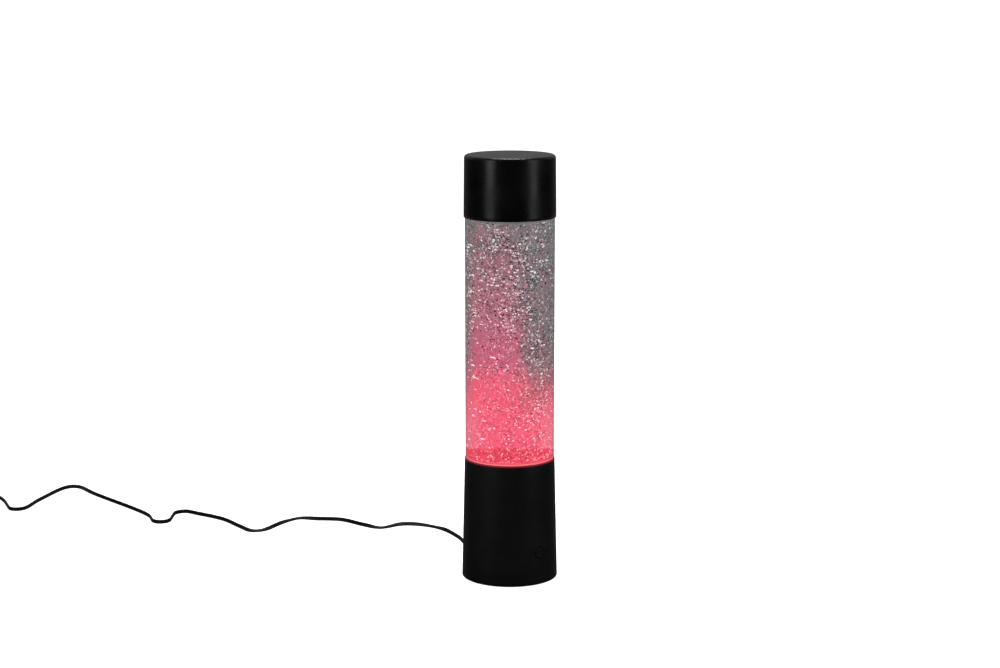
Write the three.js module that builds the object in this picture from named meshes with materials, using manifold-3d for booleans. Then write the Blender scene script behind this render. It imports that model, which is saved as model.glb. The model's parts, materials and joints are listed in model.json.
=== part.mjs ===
// A cord-powered glitter lava lamp: a clear tank of liquid and glitter between a black base and a
// black cap. A motor in the base turns magnets, and these turn a small impeller in the tank.
// Millimetres, +Z up, origin on the table under the middle of the lamp, push button towards -Y,
// cord out of the base towards +Y.
import * as THREE from 'three';
import { mergeVertices } from 'three/addons/utils/BufferGeometryUtils.js';
import Module from 'manifold-3d';

const wasm = await Module();
wasm.setup();

// ---------------------------------------------------------------- driving dimensions
const GAP = 0.3; // clearance between pieces that touch
const BIG_SIDES = 40;
const MID_SIDES = 20;
const SMALL_SIDES = 10;

const TOTAL_HEIGHT = 383;
const TANK_RADIUS = 40;
const TANK_WALL = 2.5;
const TANK_BOTTOM = 110.3;
const TANK_TOP = 327.4;

const BASE_BOTTOM = 0.2;
const BASE_TOP = 110;
const BASE_FOOT_RADIUS = 43.2;
const BASE_RIM_RADIUS = 40.6;
const BASE_WALL = 2.4;
const SHELF_TOP = 104;
const SHELF_THICKNESS = 3;
const SHELF_HOLE_RADIUS = 33;

const CAP_BOTTOM = TANK_TOP + GAP;
const CAP_MOUTH_RADIUS = 41.15;
const CAP_CROWN_RADIUS = 40.6;
const CAP_WALL = 2.4;
const CAP_EDGE_ROUND = 3;

const COVER_BOTTOM = 1.5;
const COVER_TOP = 4;
const COVER_RADIUS = 40.2;
const FOOT_RADIUS = 4.5;
const FOOT_HEIGHT = 2.6;
const FOOT_RING = 31;
const PILLAR_RING = 36;
const PILLAR_RADIUS = 5;
const PILLAR_TOP = 24;

const FRAME_TOP = 100.7;
const FRAME_FLOOR_TOP = 94;
const FRAME_FLOOR_THICKNESS = 2;
const FRAME_SCREW_RING = 35.3;
const LED_COUNT = 6;
const LED_RING = 22;
const LED_SIZE = 5;

const MOTOR_RADIUS = 12.2;
const MOTOR_LENGTH = 12.5;
const MOTOR_SCREW_RING = 8;
const SHAFT_RADIUS = 1;
const CARRIER_RADIUS = 11;
const MAGNET_RADIUS = 3;
const MAGNET_RING = 6.5;

const FLOOR_TOP = 112.5; // upper face of the tank's floor
const WELL_RADIUS = 14;
const WELL_BOTTOM = 104.5;
const IMPELLER_RADIUS = 12;
const IMPELLER_BLADES = 5;

const BUTTON_HEIGHT = 29;
const BUTTON_RADIUS = 4.7;
const BUTTON_HOLE_RADIUS = 5.05;
const CORD_HEIGHT = 11;
const CORD_WIDTH = 4;
const CORD_THICKNESS = 2;

// ---------------------------------------------------------------- materials
const material = (color, roughness, metalness = 0, opacity = 1) =>
  new THREE.MeshStandardMaterial({ color, roughness, metalness, opacity, transparent: opacity < 1 });

const blackPlastic = () => material(0x101010, 0.5);
const clearPlastic = () => material(0xdde3e6, 0.06, 0, 0.3);
const whitePlastic = () => material(0xe8e8e4, 0.5);
const steel = () => material(0xb4b6b8, 0.35, 0.9);
const magnetPlate = () => material(0xc4c4c6, 0.25, 0.9);
const boardGreen = () => material(0x1d5a34, 0.5);
const rubber = () => material(0x141414, 0.85);
const cordBlack = () => material(0x181818, 0.6);

// ---------------------------------------------------------------- geometry helpers
function signedVolume(geometry) {
  const position = geometry.attributes.position;
  const index = geometry.index.array;
  const [a, b, c] = [new THREE.Vector3(), new THREE.Vector3(), new THREE.Vector3()];
  let total = 0;
  for (let i = 0; i < index.length; i += 3) {
    a.fromBufferAttribute(position, index[i]);
    b.fromBufferAttribute(position, index[i + 1]);
    c.fromBufferAttribute(position, index[i + 2]);
    total += a.dot(b.cross(c)) / 6;
  }
  return total;
}

// Joins shared corners, drops triangles with no area and turns every face outwards.
function welded(geometry) {
  const bare = geometry.clone();
  bare.deleteAttribute('normal');
  bare.deleteAttribute('uv');
  const merged = mergeVertices(bare, 1e-4);
  const kept = [];
  for (let i = 0; i < merged.index.count; i += 3) {
    const corners = [0, 1, 2].map((k) => merged.index.getX(i + k));
    if (new Set(corners).size === 3) kept.push(...corners);
  }
  merged.setIndex(kept);
  if (signedVolume(merged) < 0) merged.setIndex(kept.reverse());
  return merged;
}

function toManifold(geometry) {
  const closed = welded(geometry);
  return new wasm.Manifold(new wasm.Mesh({
    numProp: 3,
    vertProperties: new Float32Array(closed.attributes.position.array),
    triVerts: new Uint32Array(closed.index.array),
  }));
}

function fromManifold(solid) {
  const mesh = solid.getMesh();
  const geometry = new THREE.BufferGeometry();
  geometry.setAttribute('position', new THREE.BufferAttribute(mesh.vertProperties, 3));
  geometry.setIndex(new THREE.BufferAttribute(mesh.triVerts, 1));
  return geometry;
}

// body + every geometry in added - every geometry in removed
function carved(body, { added = [], removed = [] }) {
  let solid = toManifold(body);
  for (const extra of added) solid = solid.add(toManifold(extra));
  for (const cut of removed) solid = solid.subtract(toManifold(cut));
  return fromManifold(solid);
}

// A closed outline of [radius, height] corners turned about Z.
function turned(outline, sides = MID_SIDES) {
  const points = outline.map(([radius, height]) => new THREE.Vector2(radius, height));
  const onAxis = outline[0][0] === 0 && outline.at(-1)[0] === 0;
  if (!onAxis) points.push(points[0].clone());
  return new THREE.LatheGeometry(points, sides).rotateX(Math.PI / 2);
}

const disc = (radius, low, high, sides = MID_SIDES) =>
  turned([[0, low], [radius, low], [radius, high], [0, high]], sides);

const washer = (inner, outer, low, high, sides = MID_SIDES) =>
  turned([[inner, low], [outer, low], [outer, high], [inner, high]], sides);

const block = (sizeX, sizeY, sizeZ, x = 0, y = 0, z = 0) =>
  new THREE.BoxGeometry(sizeX, sizeY, sizeZ).translate(x, y, z);

// Puts a piece that was turned about Z on an axis along +Y instead, at the given height.
const alongY = (geometry, x, height) =>
  geometry.rotateX(-Math.PI / 2).translate(x, 0, height);

function roundedRectangle(width, height, corner) {
  const [x, y] = [width / 2, height / 2];
  const shape = new THREE.Shape();
  shape.moveTo(-x + corner, -y);
  shape.lineTo(x - corner, -y);
  shape.absarc(x - corner, -y + corner, corner, -Math.PI / 2, 0);
  shape.lineTo(x, y - corner);
  shape.absarc(x - corner, y - corner, corner, 0, Math.PI / 2);
  shape.lineTo(-x + corner, y);
  shape.absarc(-x + corner, y - corner, corner, Math.PI / 2, Math.PI);
  shape.lineTo(-x, -y + corner);
  shape.absarc(-x + corner, -y + corner, corner, Math.PI, Math.PI * 1.5);
  return shape;
}

function ovalSection(thickness, width, sides = 8) {
  const corners = [];
  for (let i = 0; i < sides; i += 1) {
    const angle = ((i + 0.5) / sides) * Math.PI * 2;
    corners.push(new THREE.Vector2(Math.cos(angle) * thickness, Math.sin(angle) * width));
  }
  return new THREE.Shape(corners.map((corner) => corner.multiplyScalar(0.5)));
}

function swept(points, section, steps) {
  const path = new THREE.CatmullRomCurve3(points.map((p) => new THREE.Vector3(...p)), false, 'centripetal');
  return new THREE.ExtrudeGeometry(section, { steps, bevelEnabled: false, extrudePath: path });
}

const onRing = (radius, degrees) => {
  const angle = THREE.MathUtils.degToRad(degrees);
  return [radius * Math.cos(angle), radius * Math.sin(angle)];
};

// A cross-head screw that points up: the head's outer face is at 0 and the shank ends at length.
function crossScrew({ headRadius, headHeight, shankRadius, length }) {
  const outline = [
    [0, 0],
    [headRadius * 0.8, 0],
    [headRadius, headHeight * 0.5],
    [headRadius, headHeight],
    [shankRadius, headHeight],
    [shankRadius, length - shankRadius],
    [0, length],
  ];
  const slot = [headRadius * 1.1, headRadius * 0.28, headHeight];
  return carved(turned(outline, SMALL_SIDES), {
    removed: [block(...slot), block(slot[1], slot[0], slot[2])],
  });
}

function piece(name, geometry, surface) {
  const mesh = new THREE.Mesh(geometry, surface);
  mesh.name = name;
  return mesh;
}

// ---------------------------------------------------------------- base: shell, cover, feet
const baseRadiusAt = (z) =>
  THREE.MathUtils.mapLinear(z, BASE_BOTTOM, BASE_TOP, BASE_FOOT_RADIUS, BASE_RIM_RADIUS);
const baseInnerAt = (z) => baseRadiusAt(z) - BASE_WALL;
const PILLAR_ANGLES = [45, 135, 225, 315];
const FRAME_SCREW_ANGLES = [30, 150, 270];
const SHELF_BOTTOM = SHELF_TOP - SHELF_THICKNESS;
const RIM_HOLE_RADIUS = 37.9;

const SWITCH_FACE = 32.8; // distance from the lamp's axis to the switch's outer face
const BOARD_BACK = 27.4;
const BOARD_FRONT = 29;
const BOARD_SCREW_X = 11;
const BUTTON_GUIDE_DEPTH = 36;

function baseShell() {
  const edge = 1;
  const footEdge = 0.6;
  const outline = [
    [baseInnerAt(BASE_BOTTOM), BASE_BOTTOM],
    [BASE_FOOT_RADIUS - footEdge, BASE_BOTTOM],
    [BASE_FOOT_RADIUS - footEdge * 0.3, BASE_BOTTOM + footEdge * 0.3],
    [BASE_FOOT_RADIUS, BASE_BOTTOM + footEdge],
    [BASE_RIM_RADIUS, BASE_TOP - edge],
    [BASE_RIM_RADIUS - edge * 0.3, BASE_TOP - edge * 0.3],
    [BASE_RIM_RADIUS - edge, BASE_TOP],
    [RIM_HOLE_RADIUS, BASE_TOP],
    [RIM_HOLE_RADIUS, SHELF_TOP],
    [SHELF_HOLE_RADIUS, SHELF_TOP],
    [SHELF_HOLE_RADIUS, SHELF_BOTTOM],
    [baseInnerAt(SHELF_BOTTOM), SHELF_BOTTOM],
  ];
  const pillars = PILLAR_ANGLES.map((angle) =>
    disc(PILLAR_RADIUS, COVER_TOP + GAP, PILLAR_TOP, SMALL_SIDES)
      .translate(...onRing(PILLAR_RING, angle), 0));
  const pillarHoles = PILLAR_ANGLES.map((angle) =>
    disc(1.6, COVER_TOP, 16, SMALL_SIDES).translate(...onRing(PILLAR_RING, angle), 0));
  const shelfHoles = FRAME_SCREW_ANGLES.map((angle) =>
    disc(1.3, SHELF_BOTTOM - 1, SHELF_TOP + 1, SMALL_SIDES)
      .translate(...onRing(FRAME_SCREW_RING, angle), 0));
  const guide = alongY(disc(BUTTON_HOLE_RADIUS + 2.2, -40.5, -BUTTON_GUIDE_DEPTH), 0, BUTTON_HEIGHT);
  const guideBore = alongY(disc(BUTTON_HOLE_RADIUS, -50, -30), 0, BUTTON_HEIGHT);
  const guideRecess = alongY(disc(BUTTON_HOLE_RADIUS + 0.75, -50, -41.5), 0, BUTTON_HEIGHT);
  const boardPosts = [-BOARD_SCREW_X, BOARD_SCREW_X].map((x) =>
    alongY(disc(2.8, -39.6, -BOARD_FRONT - GAP, SMALL_SIDES), x, BUTTON_HEIGHT));
  const boardHoles = [-BOARD_SCREW_X, BOARD_SCREW_X].map((x) =>
    alongY(disc(1.3, -34, -20, SMALL_SIDES), x, BUTTON_HEIGHT));
  const cordHole = alongY(disc(3.3, 30, 50, SMALL_SIDES), 0, CORD_HEIGHT);
  return carved(turned(outline, BIG_SIDES), {
    added: [...pillars, guide, ...boardPosts],
    removed: [...pillarHoles, ...shelfHoles, guideBore, guideRecess, ...boardHoles, cordHole],
  });
}

function bottomCover() {
  const plate = turned([
    [0, COVER_BOTTOM],
    [COVER_RADIUS - 0.6, COVER_BOTTOM],
    [COVER_RADIUS, COVER_BOTTOM + 0.6],
    [COVER_RADIUS, COVER_TOP],
    [0, COVER_TOP],
  ], BIG_SIDES);
  const removed = [];
  for (const angle of PILLAR_ANGLES) {
    const place = [...onRing(PILLAR_RING, angle), 0];
    removed.push(disc(2.8, COVER_BOTTOM - 1, 3.2, SMALL_SIDES).translate(...place));
    removed.push(disc(1.7, COVER_BOTTOM - 1, COVER_TOP + 1, SMALL_SIDES).translate(...place));
  }
  for (const angle of [0, 90, 180, 270]) {
    removed.push(disc(FOOT_RADIUS + GAP, COVER_BOTTOM - 1, FOOT_HEIGHT + GAP, SMALL_SIDES)
      .translate(...onRing(FOOT_RING, angle), 0));
  }
  return carved(plate, { removed });
}

function foot() {
  return turned([
    [0, 0],
    [FOOT_RADIUS - 0.8, 0],
    [FOOT_RADIUS, 0.8],
    [FOOT_RADIUS, FOOT_HEIGHT],
    [0, FOOT_HEIGHT],
  ], SMALL_SIDES);
}

const base = new THREE.Group();
base.add(piece('base_shell', baseShell(), blackPlastic()));
base.add(piece('bottom_cover', bottomCover(), blackPlastic()));
const coverScrew = crossScrew({ headRadius: 2.4, headHeight: 1.2, shankRadius: 1.3, length: 12 });
PILLAR_ANGLES.forEach((angle, i) => {
  const screw = piece(`cover_screw_${i + 1}`, coverScrew, steel());
  screw.position.set(...onRing(PILLAR_RING, angle), 1.7);
  base.add(screw);
  const pad = piece(`foot_${i + 1}`, foot(), rubber());
  pad.position.set(...onRing(FOOT_RING, angle - PILLAR_ANGLES[0]), 0);
  base.add(pad);
});

// ---------------------------------------------------------------- button, switch, control board
function pushButton() {
  const face = -baseRadiusAt(BUTTON_HEIGHT) + 0.1;
  const flange = -BUTTON_GUIDE_DEPTH + GAP;
  const outline = [
    [0, face],
    [BUTTON_RADIUS - 1.2, face + 0.12],
    [BUTTON_RADIUS - 0.3, face + 0.45],
    [BUTTON_RADIUS, face + 0.9],
    [BUTTON_RADIUS, flange],
    [BUTTON_RADIUS + 1.6, flange],
    [BUTTON_RADIUS + 1.6, flange + 1],
    [0, flange + 1],
  ];
  return alongY(turned(outline), 0, BUTTON_HEIGHT);
}

const SWITCH_SIZE = 6;
const BUTTON_BACK = -BUTTON_GUIDE_DEPTH + GAP + 1;

function switchCase() {
  const depth = SWITCH_FACE - BOARD_FRONT - GAP;
  const body = block(SWITCH_SIZE, depth, SWITCH_SIZE, 0, -SWITCH_FACE + depth / 2, BUTTON_HEIGHT);
  const well = alongY(disc(2, -SWITCH_FACE - 1, -30, SMALL_SIDES), 0, BUTTON_HEIGHT);
  return carved(body, { removed: [well] });
}

function controlBoard() {
  const plate = block(30, BOARD_FRONT - BOARD_BACK, 28, 0, -(BOARD_FRONT + BOARD_BACK) / 2, BUTTON_HEIGHT + 2);
  const holes = [-BOARD_SCREW_X, BOARD_SCREW_X].map((x) =>
    alongY(disc(1.3, -BOARD_FRONT - 1, -BOARD_BACK + 1, SMALL_SIDES), x, BUTTON_HEIGHT));
  return carved(plate, { removed: holes });
}

function controlChip() {
  const body = block(6, 1.6, 5, 0, -BOARD_BACK + GAP + 0.8, BUTTON_HEIGHT + 9);
  const notch = alongY(disc(0.6, -BOARD_BACK + 1.4, -BOARD_BACK + 3, 12), 0, BUTTON_HEIGHT + 11);
  return carved(body, { removed: [notch] });
}

base.add(piece('control_board', controlBoard(), boardGreen()));
base.add(piece('control_chip', controlChip(), blackPlastic()));
base.add(piece('switch_case', switchCase(), blackPlastic()));
const boardScrew = crossScrew({ headRadius: 2, headHeight: 1.2, shankRadius: 1, length: 6.5 });
[-BOARD_SCREW_X, BOARD_SCREW_X].forEach((x, i) => {
  const screw = piece(`board_screw_${i + 1}`, boardScrew, steel());
  screw.rotation.x = Math.PI / 2;
  screw.position.set(x, -BOARD_BACK + GAP + 1.2, BUTTON_HEIGHT);
  base.add(screw);
});

const button = new THREE.Group();
button.add(piece('push_button', pushButton(), blackPlastic()));
button.add(piece('switch_plunger',
  alongY(disc(1.6, BUTTON_BACK + GAP, -32, SMALL_SIDES), 0, BUTTON_HEIGHT), rubber()));

// ---------------------------------------------------------------- light frame, LED board
const FRAME_FLOOR_BOTTOM = FRAME_FLOOR_TOP - FRAME_FLOOR_THICKNESS;
const FRAME_LIP = 2.7;
const LED_LEAD_PLACE = onRing(27, 235);
const MOTOR_SCREW_ANGLES = [0, 180];

function lightFrame() {
  const cupRadius = 32.8;
  const body = turned([
    [4, FRAME_FLOOR_BOTTOM],
    [cupRadius, FRAME_FLOOR_BOTTOM],
    [cupRadius, FRAME_TOP - FRAME_LIP],
    [37.4, FRAME_TOP - FRAME_LIP],
    [37.4, FRAME_TOP],
    [cupRadius - 0.4, FRAME_TOP],
    [31.2, FRAME_FLOOR_TOP + 1.6],
    [31.2, FRAME_FLOOR_TOP],
    [4, FRAME_FLOOR_TOP],
  ], BIG_SIDES);
  const through = (radius, place) =>
    disc(radius, FRAME_FLOOR_BOTTOM - 1, FRAME_TOP + 1, SMALL_SIDES).translate(...place, 0);
  return carved(body, {
    removed: [
      ...FRAME_SCREW_ANGLES.map((angle) => through(1.3, onRing(FRAME_SCREW_RING, angle))),
      ...MOTOR_SCREW_ANGLES.map((angle) => through(1.2, onRing(MOTOR_SCREW_RING, angle))),
      through(2, LED_LEAD_PLACE),
    ],
  });
}

function led() {
  const height = 1.6;
  const body = block(LED_SIZE, LED_SIZE, height, 0, 0, height / 2);
  return carved(body, { removed: [disc(2, height - 0.4, height + 1, SMALL_SIDES)] });
}

const light = new THREE.Group();
light.add(piece('light_frame', lightFrame(), whitePlastic()));
const boardTop = FRAME_FLOOR_TOP + GAP + 1.6;
light.add(piece('led_board', washer(10.5, 30.8, FRAME_FLOOR_TOP + GAP, boardTop, BIG_SIDES), boardGreen()));
for (let i = 0; i < LED_COUNT; i += 1) {
  const lamp = piece(`led_${i + 1}`, led(), whitePlastic());
  const angle = (i / LED_COUNT) * 360;
  lamp.position.set(...onRing(LED_RING, angle), boardTop + GAP);
  lamp.rotation.z = THREE.MathUtils.degToRad(angle);
  light.add(lamp);
}
const frameScrew = crossScrew({ headRadius: 2, headHeight: 1.2, shankRadius: 1, length: 6.4 });
FRAME_SCREW_ANGLES.forEach((angle, i) => {
  const screw = piece(`frame_screw_${i + 1}`, frameScrew, steel());
  screw.position.set(...onRing(FRAME_SCREW_RING, angle), FRAME_TOP - FRAME_LIP - GAP - 1.2);
  light.add(screw);
});

// ---------------------------------------------------------------- motor and drive magnets
const MOTOR_TOP = FRAME_FLOOR_BOTTOM - GAP;
const MOTOR_BOTTOM = MOTOR_TOP - MOTOR_LENGTH;
const SHAFT_FOOT = MOTOR_TOP - 7;
const CARRIER_BOTTOM = 97;
const CARRIER_TOP = 101.9;
const MAGNET_ANGLES = [90, 270];

function motorCase() {
  const body = turned([
    [0, MOTOR_BOTTOM],
    [MOTOR_RADIUS, MOTOR_BOTTOM],
    [MOTOR_RADIUS, MOTOR_TOP - 0.9],
    [MOTOR_RADIUS - 0.9, MOTOR_TOP],
    [3.1, MOTOR_TOP],
    [3.1, MOTOR_TOP + 1.6],
    [SHAFT_RADIUS + GAP, MOTOR_TOP + 1.6],
    [SHAFT_RADIUS + GAP, SHAFT_FOOT - GAP],
    [0, SHAFT_FOOT - GAP],
  ]);
  const holes = MOTOR_SCREW_ANGLES.map((angle) =>
    disc(1.2, MOTOR_TOP - 3, MOTOR_TOP + 1, SMALL_SIDES).translate(...onRing(MOTOR_SCREW_RING, angle), 0));
  return carved(body, { removed: holes });
}

function motorEndCap() {
  const top = MOTOR_BOTTOM - GAP;
  return turned([
    [0, top - 2.2],
    [2.6, top - 2.2],
    [2.6, top - 1.4],
    [9.4, top - 1.4],
    [9.8, top - 1],
    [9.8, top],
    [0, top],
  ]);
}

function magnetCarrier() {
  const body = turned([
    [0, CARRIER_TOP - 1.2],
    [SHAFT_RADIUS + GAP, CARRIER_TOP - 1.2],
    [SHAFT_RADIUS + GAP, CARRIER_BOTTOM],
    [CARRIER_RADIUS - 0.6, CARRIER_BOTTOM],
    [CARRIER_RADIUS, CARRIER_BOTTOM + 0.6],
    [CARRIER_RADIUS, CARRIER_TOP],
    [0, CARRIER_TOP],
  ]);
  const pockets = MAGNET_ANGLES.map((angle) =>
    disc(MAGNET_RADIUS + GAP, CARRIER_TOP - 3.8, CARRIER_TOP + 1, SMALL_SIDES)
      .translate(...onRing(MAGNET_RING, angle), 0));
  return carved(body, { removed: pockets });
}

const motor = new THREE.Group();
motor.add(piece('motor_case', motorCase(), steel()));
motor.add(piece('motor_end_cap', motorEndCap(), blackPlastic()));
const motorScrew = crossScrew({ headRadius: 1.7, headHeight: 1, shankRadius: 0.9, length: 5.6 });
MOTOR_SCREW_ANGLES.forEach((angle, i) => {
  const screw = piece(`motor_screw_${i + 1}`, motorScrew, steel());
  screw.rotation.x = Math.PI;
  screw.position.set(...onRing(MOTOR_SCREW_RING, angle), FRAME_FLOOR_TOP + GAP + 1);
  motor.add(screw);
});

const rotor = new THREE.Group();
rotor.add(piece('motor_shaft', disc(SHAFT_RADIUS, SHAFT_FOOT, CARRIER_TOP - 1.5, SMALL_SIDES), steel()));
rotor.add(piece('magnet_carrier', magnetCarrier(), whitePlastic()));
MAGNET_ANGLES.forEach((angle, i) => {
  const magnet = disc(MAGNET_RADIUS, CARRIER_TOP - 3.5, CARRIER_TOP - 0.2, SMALL_SIDES);
  const mesh = piece(`drive_magnet_${i + 1}`, magnet, magnetPlate());
  mesh.position.set(...onRing(MAGNET_RING, angle), 0);
  rotor.add(mesh);
});

// ---------------------------------------------------------------- tank
const TUBE_INSIDE = TANK_RADIUS - TANK_WALL;
const SPIGOT_RADIUS = TUBE_INSIDE - GAP;
const SEAT_RADIUS = RIM_HOLE_RADIUS - GAP;
const FLOOR_THICKNESS = 3;
const WELL_WALL = 2;
const PIN_FOOT = WELL_BOTTOM - 1.1;
const NECK_RADIUS = 14;
const NECK_BORE = 11;
const NECK_TOP = 346;

function tankTube() {
  const edge = 0.3;
  return turned([
    [TUBE_INSIDE, TANK_BOTTOM],
    [TANK_RADIUS - edge, TANK_BOTTOM],
    [TANK_RADIUS, TANK_BOTTOM + edge],
    [TANK_RADIUS, TANK_TOP - edge],
    [TANK_RADIUS - edge, TANK_TOP],
    [TUBE_INSIDE, TANK_TOP],
  ], BIG_SIDES);
}

function tankFloor() {
  const plateBottom = FLOOR_TOP - FLOOR_THICKNESS;
  const wellOutside = WELL_RADIUS + WELL_WALL;
  return turned([
    [0, WELL_BOTTOM - WELL_WALL],
    [wellOutside, WELL_BOTTOM - WELL_WALL],
    [wellOutside, plateBottom],
    [34, plateBottom],
    [34, SHELF_TOP + GAP],
    [SEAT_RADIUS, SHELF_TOP + GAP],
    [SEAT_RADIUS, BASE_TOP],
    [SPIGOT_RADIUS, BASE_TOP],
    [SPIGOT_RADIUS, FLOOR_TOP],
    [WELL_RADIUS, FLOOR_TOP],
    [WELL_RADIUS, WELL_BOTTOM],
    [SHAFT_RADIUS + GAP, WELL_BOTTOM],
    [SHAFT_RADIUS + GAP, PIN_FOOT - GAP],
    [0, PIN_FOOT - GAP],
  ], BIG_SIDES);
}

function tankTop() {
  const collar = RIM_HOLE_RADIUS;
  return turned([
    [NECK_BORE, TANK_TOP - 2],
    [SPIGOT_RADIUS, TANK_TOP - 2],
    [SPIGOT_RADIUS, CAP_BOTTOM],
    [collar, CAP_BOTTOM],
    [collar, CAP_BOTTOM + 6],
    [collar - 0.8, CAP_BOTTOM + 7],
    [NECK_RADIUS, CAP_BOTTOM + 7],
    [NECK_RADIUS, NECK_TOP],
    [NECK_BORE, NECK_TOP],
  ], BIG_SIDES);
}

function fillerPlug() {
  const lidBottom = NECK_TOP + 2 + 2 * GAP;
  const skirt = 17;
  return turned([
    [0, lidBottom],
    [NECK_RADIUS + 0.4, lidBottom],
    [NECK_RADIUS + 0.4, NECK_TOP - 8],
    [skirt, NECK_TOP - 8],
    [skirt, lidBottom + 1.6],
    [skirt - 0.8, lidBottom + 2.4],
    [0, lidBottom + 2.4],
  ]);
}

const tank = new THREE.Group();
tank.add(piece('tank_tube', tankTube(), clearPlastic()));
tank.add(piece('tank_floor', tankFloor(), clearPlastic()));
tank.add(piece('tank_top', tankTop(), clearPlastic()));
tank.add(piece('filler_seal', washer(NECK_BORE, NECK_RADIUS, NECK_TOP + GAP, NECK_TOP + 2 + GAP), rubber()));
tank.add(piece('filler_plug', fillerPlug(), whitePlastic()));
tank.add(piece('impeller_pin', disc(SHAFT_RADIUS, PIN_FOOT, FLOOR_TOP - 0.6, SMALL_SIDES), steel()));
tank.add(piece('glitter_liquid',
  disc(SPIGOT_RADIUS, FLOOR_TOP + GAP, TANK_TOP - 2 - GAP, BIG_SIDES), material(0xd23a55, 0.1, 0, 0.6)));

// ---------------------------------------------------------------- impeller
const IMPELLER_BOTTOM = WELL_BOTTOM + 0.5;
const IMPELLER_DISC = 3;
const IMPELLER_TOP = FLOOR_TOP - 1;

function impellerWheel() {
  const bore = SHAFT_RADIUS + 0.1;
  const discTop = IMPELLER_BOTTOM + IMPELLER_DISC;
  const hub = turned([
    [bore, IMPELLER_BOTTOM],
    [IMPELLER_RADIUS, IMPELLER_BOTTOM],
    [IMPELLER_RADIUS, discTop],
    [3.4, discTop],
    [2.8, IMPELLER_TOP],
    [bore, IMPELLER_TOP],
  ]);
  const bladeHeight = IMPELLER_TOP - discTop + 0.6;
  const blades = Array.from({ length: IMPELLER_BLADES }, (_, i) =>
    block(8.6, 1.1, bladeHeight, 7.2, 0, IMPELLER_TOP - bladeHeight / 2)
      .rotateZ((i / IMPELLER_BLADES) * Math.PI * 2));
  const pockets = MAGNET_ANGLES.map((angle) =>
    disc(MAGNET_RADIUS + GAP, IMPELLER_BOTTOM - 1, IMPELLER_BOTTOM + 2.2, SMALL_SIDES)
      .translate(...onRing(MAGNET_RING, angle), 0));
  return carved(hub, { added: blades, removed: pockets });
}

const impeller = new THREE.Group();
impeller.add(piece('impeller_wheel', impellerWheel(), whitePlastic()));
MAGNET_ANGLES.forEach((angle, i) => {
  const magnet = disc(MAGNET_RADIUS, IMPELLER_BOTTOM + 0.1, IMPELLER_BOTTOM + 1.9, SMALL_SIDES);
  const mesh = piece(`impeller_magnet_${i + 1}`, magnet, magnetPlate());
  mesh.position.set(...onRing(MAGNET_RING, angle), 0);
  impeller.add(mesh);
});

// ---------------------------------------------------------------- cap
function topCap() {
  const inside = CAP_MOUTH_RADIUS - CAP_WALL;
  const roof = TOTAL_HEIGHT - CAP_WALL;
  const lip = 0.5;
  const outline = [
    [inside, CAP_BOTTOM],
    [CAP_MOUTH_RADIUS - lip, CAP_BOTTOM],
    [CAP_MOUTH_RADIUS, CAP_BOTTOM + lip],
  ];
  const steps = 4;
  for (let i = 0; i <= steps; i += 1) {
    const angle = (i / steps) * (Math.PI / 2);
    outline.push([
      CAP_CROWN_RADIUS - CAP_EDGE_ROUND * (1 - Math.cos(angle)),
      TOTAL_HEIGHT - CAP_EDGE_ROUND * (1 - Math.sin(angle)),
    ]);
  }
  outline.push([0, TOTAL_HEIGHT], [0, roof], [inside - 2, roof], [inside - 0.6, roof - 2]);
  return turned([...outline.slice(-3), ...outline.slice(0, -3)], BIG_SIDES);
}

const cap = new THREE.Group();
cap.add(piece('top_cap', topCap(), blackPlastic()));

// ---------------------------------------------------------------- leads inside the base
const leads = new THREE.Group();
leads.add(piece('supply_lead', swept([
  [0, 35.8, CORD_HEIGHT],
  [1, 30, CORD_HEIGHT],
  [5, 16, 8],
  [7, -2, 7.5],
  [4, -16, 12],
  [2, -24, 18],
], ovalSection(2, 3), 14), cordBlack()));
leads.add(piece('motor_lead', swept([
  [5, -26, 42],
  [6, -20, 50],
  [9, -8, 62],
  [7, -3, 70],
  [5, -1, 75],
], ovalSection(1.4, 2.4), 12), material(0xa01818, 0.6)));
leads.add(piece('led_lead', swept([
  [-8, -26, 42],
  [-10, -22, 52],
  [LED_LEAD_PLACE[0], LED_LEAD_PLACE[1], 76],
  [LED_LEAD_PLACE[0], LED_LEAD_PLACE[1], FRAME_FLOOR_TOP],
], ovalSection(1.4, 2.4), 12), whitePlastic()));

// ---------------------------------------------------------------- cord, its strain relief and its plug
const RELIEF_TIP = 57;
const COIL_CENTRE = [-269.5, 578];
const COIL_INNER = 15.4;
const COIL_OUTER = 28.4;
const COIL_BOTTOM = 1;
const COIL_TOP = 7.4;
const LYING = CORD_THICKNESS / 2 + 0.1; // height of the cord's middle where it lies flat

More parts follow.
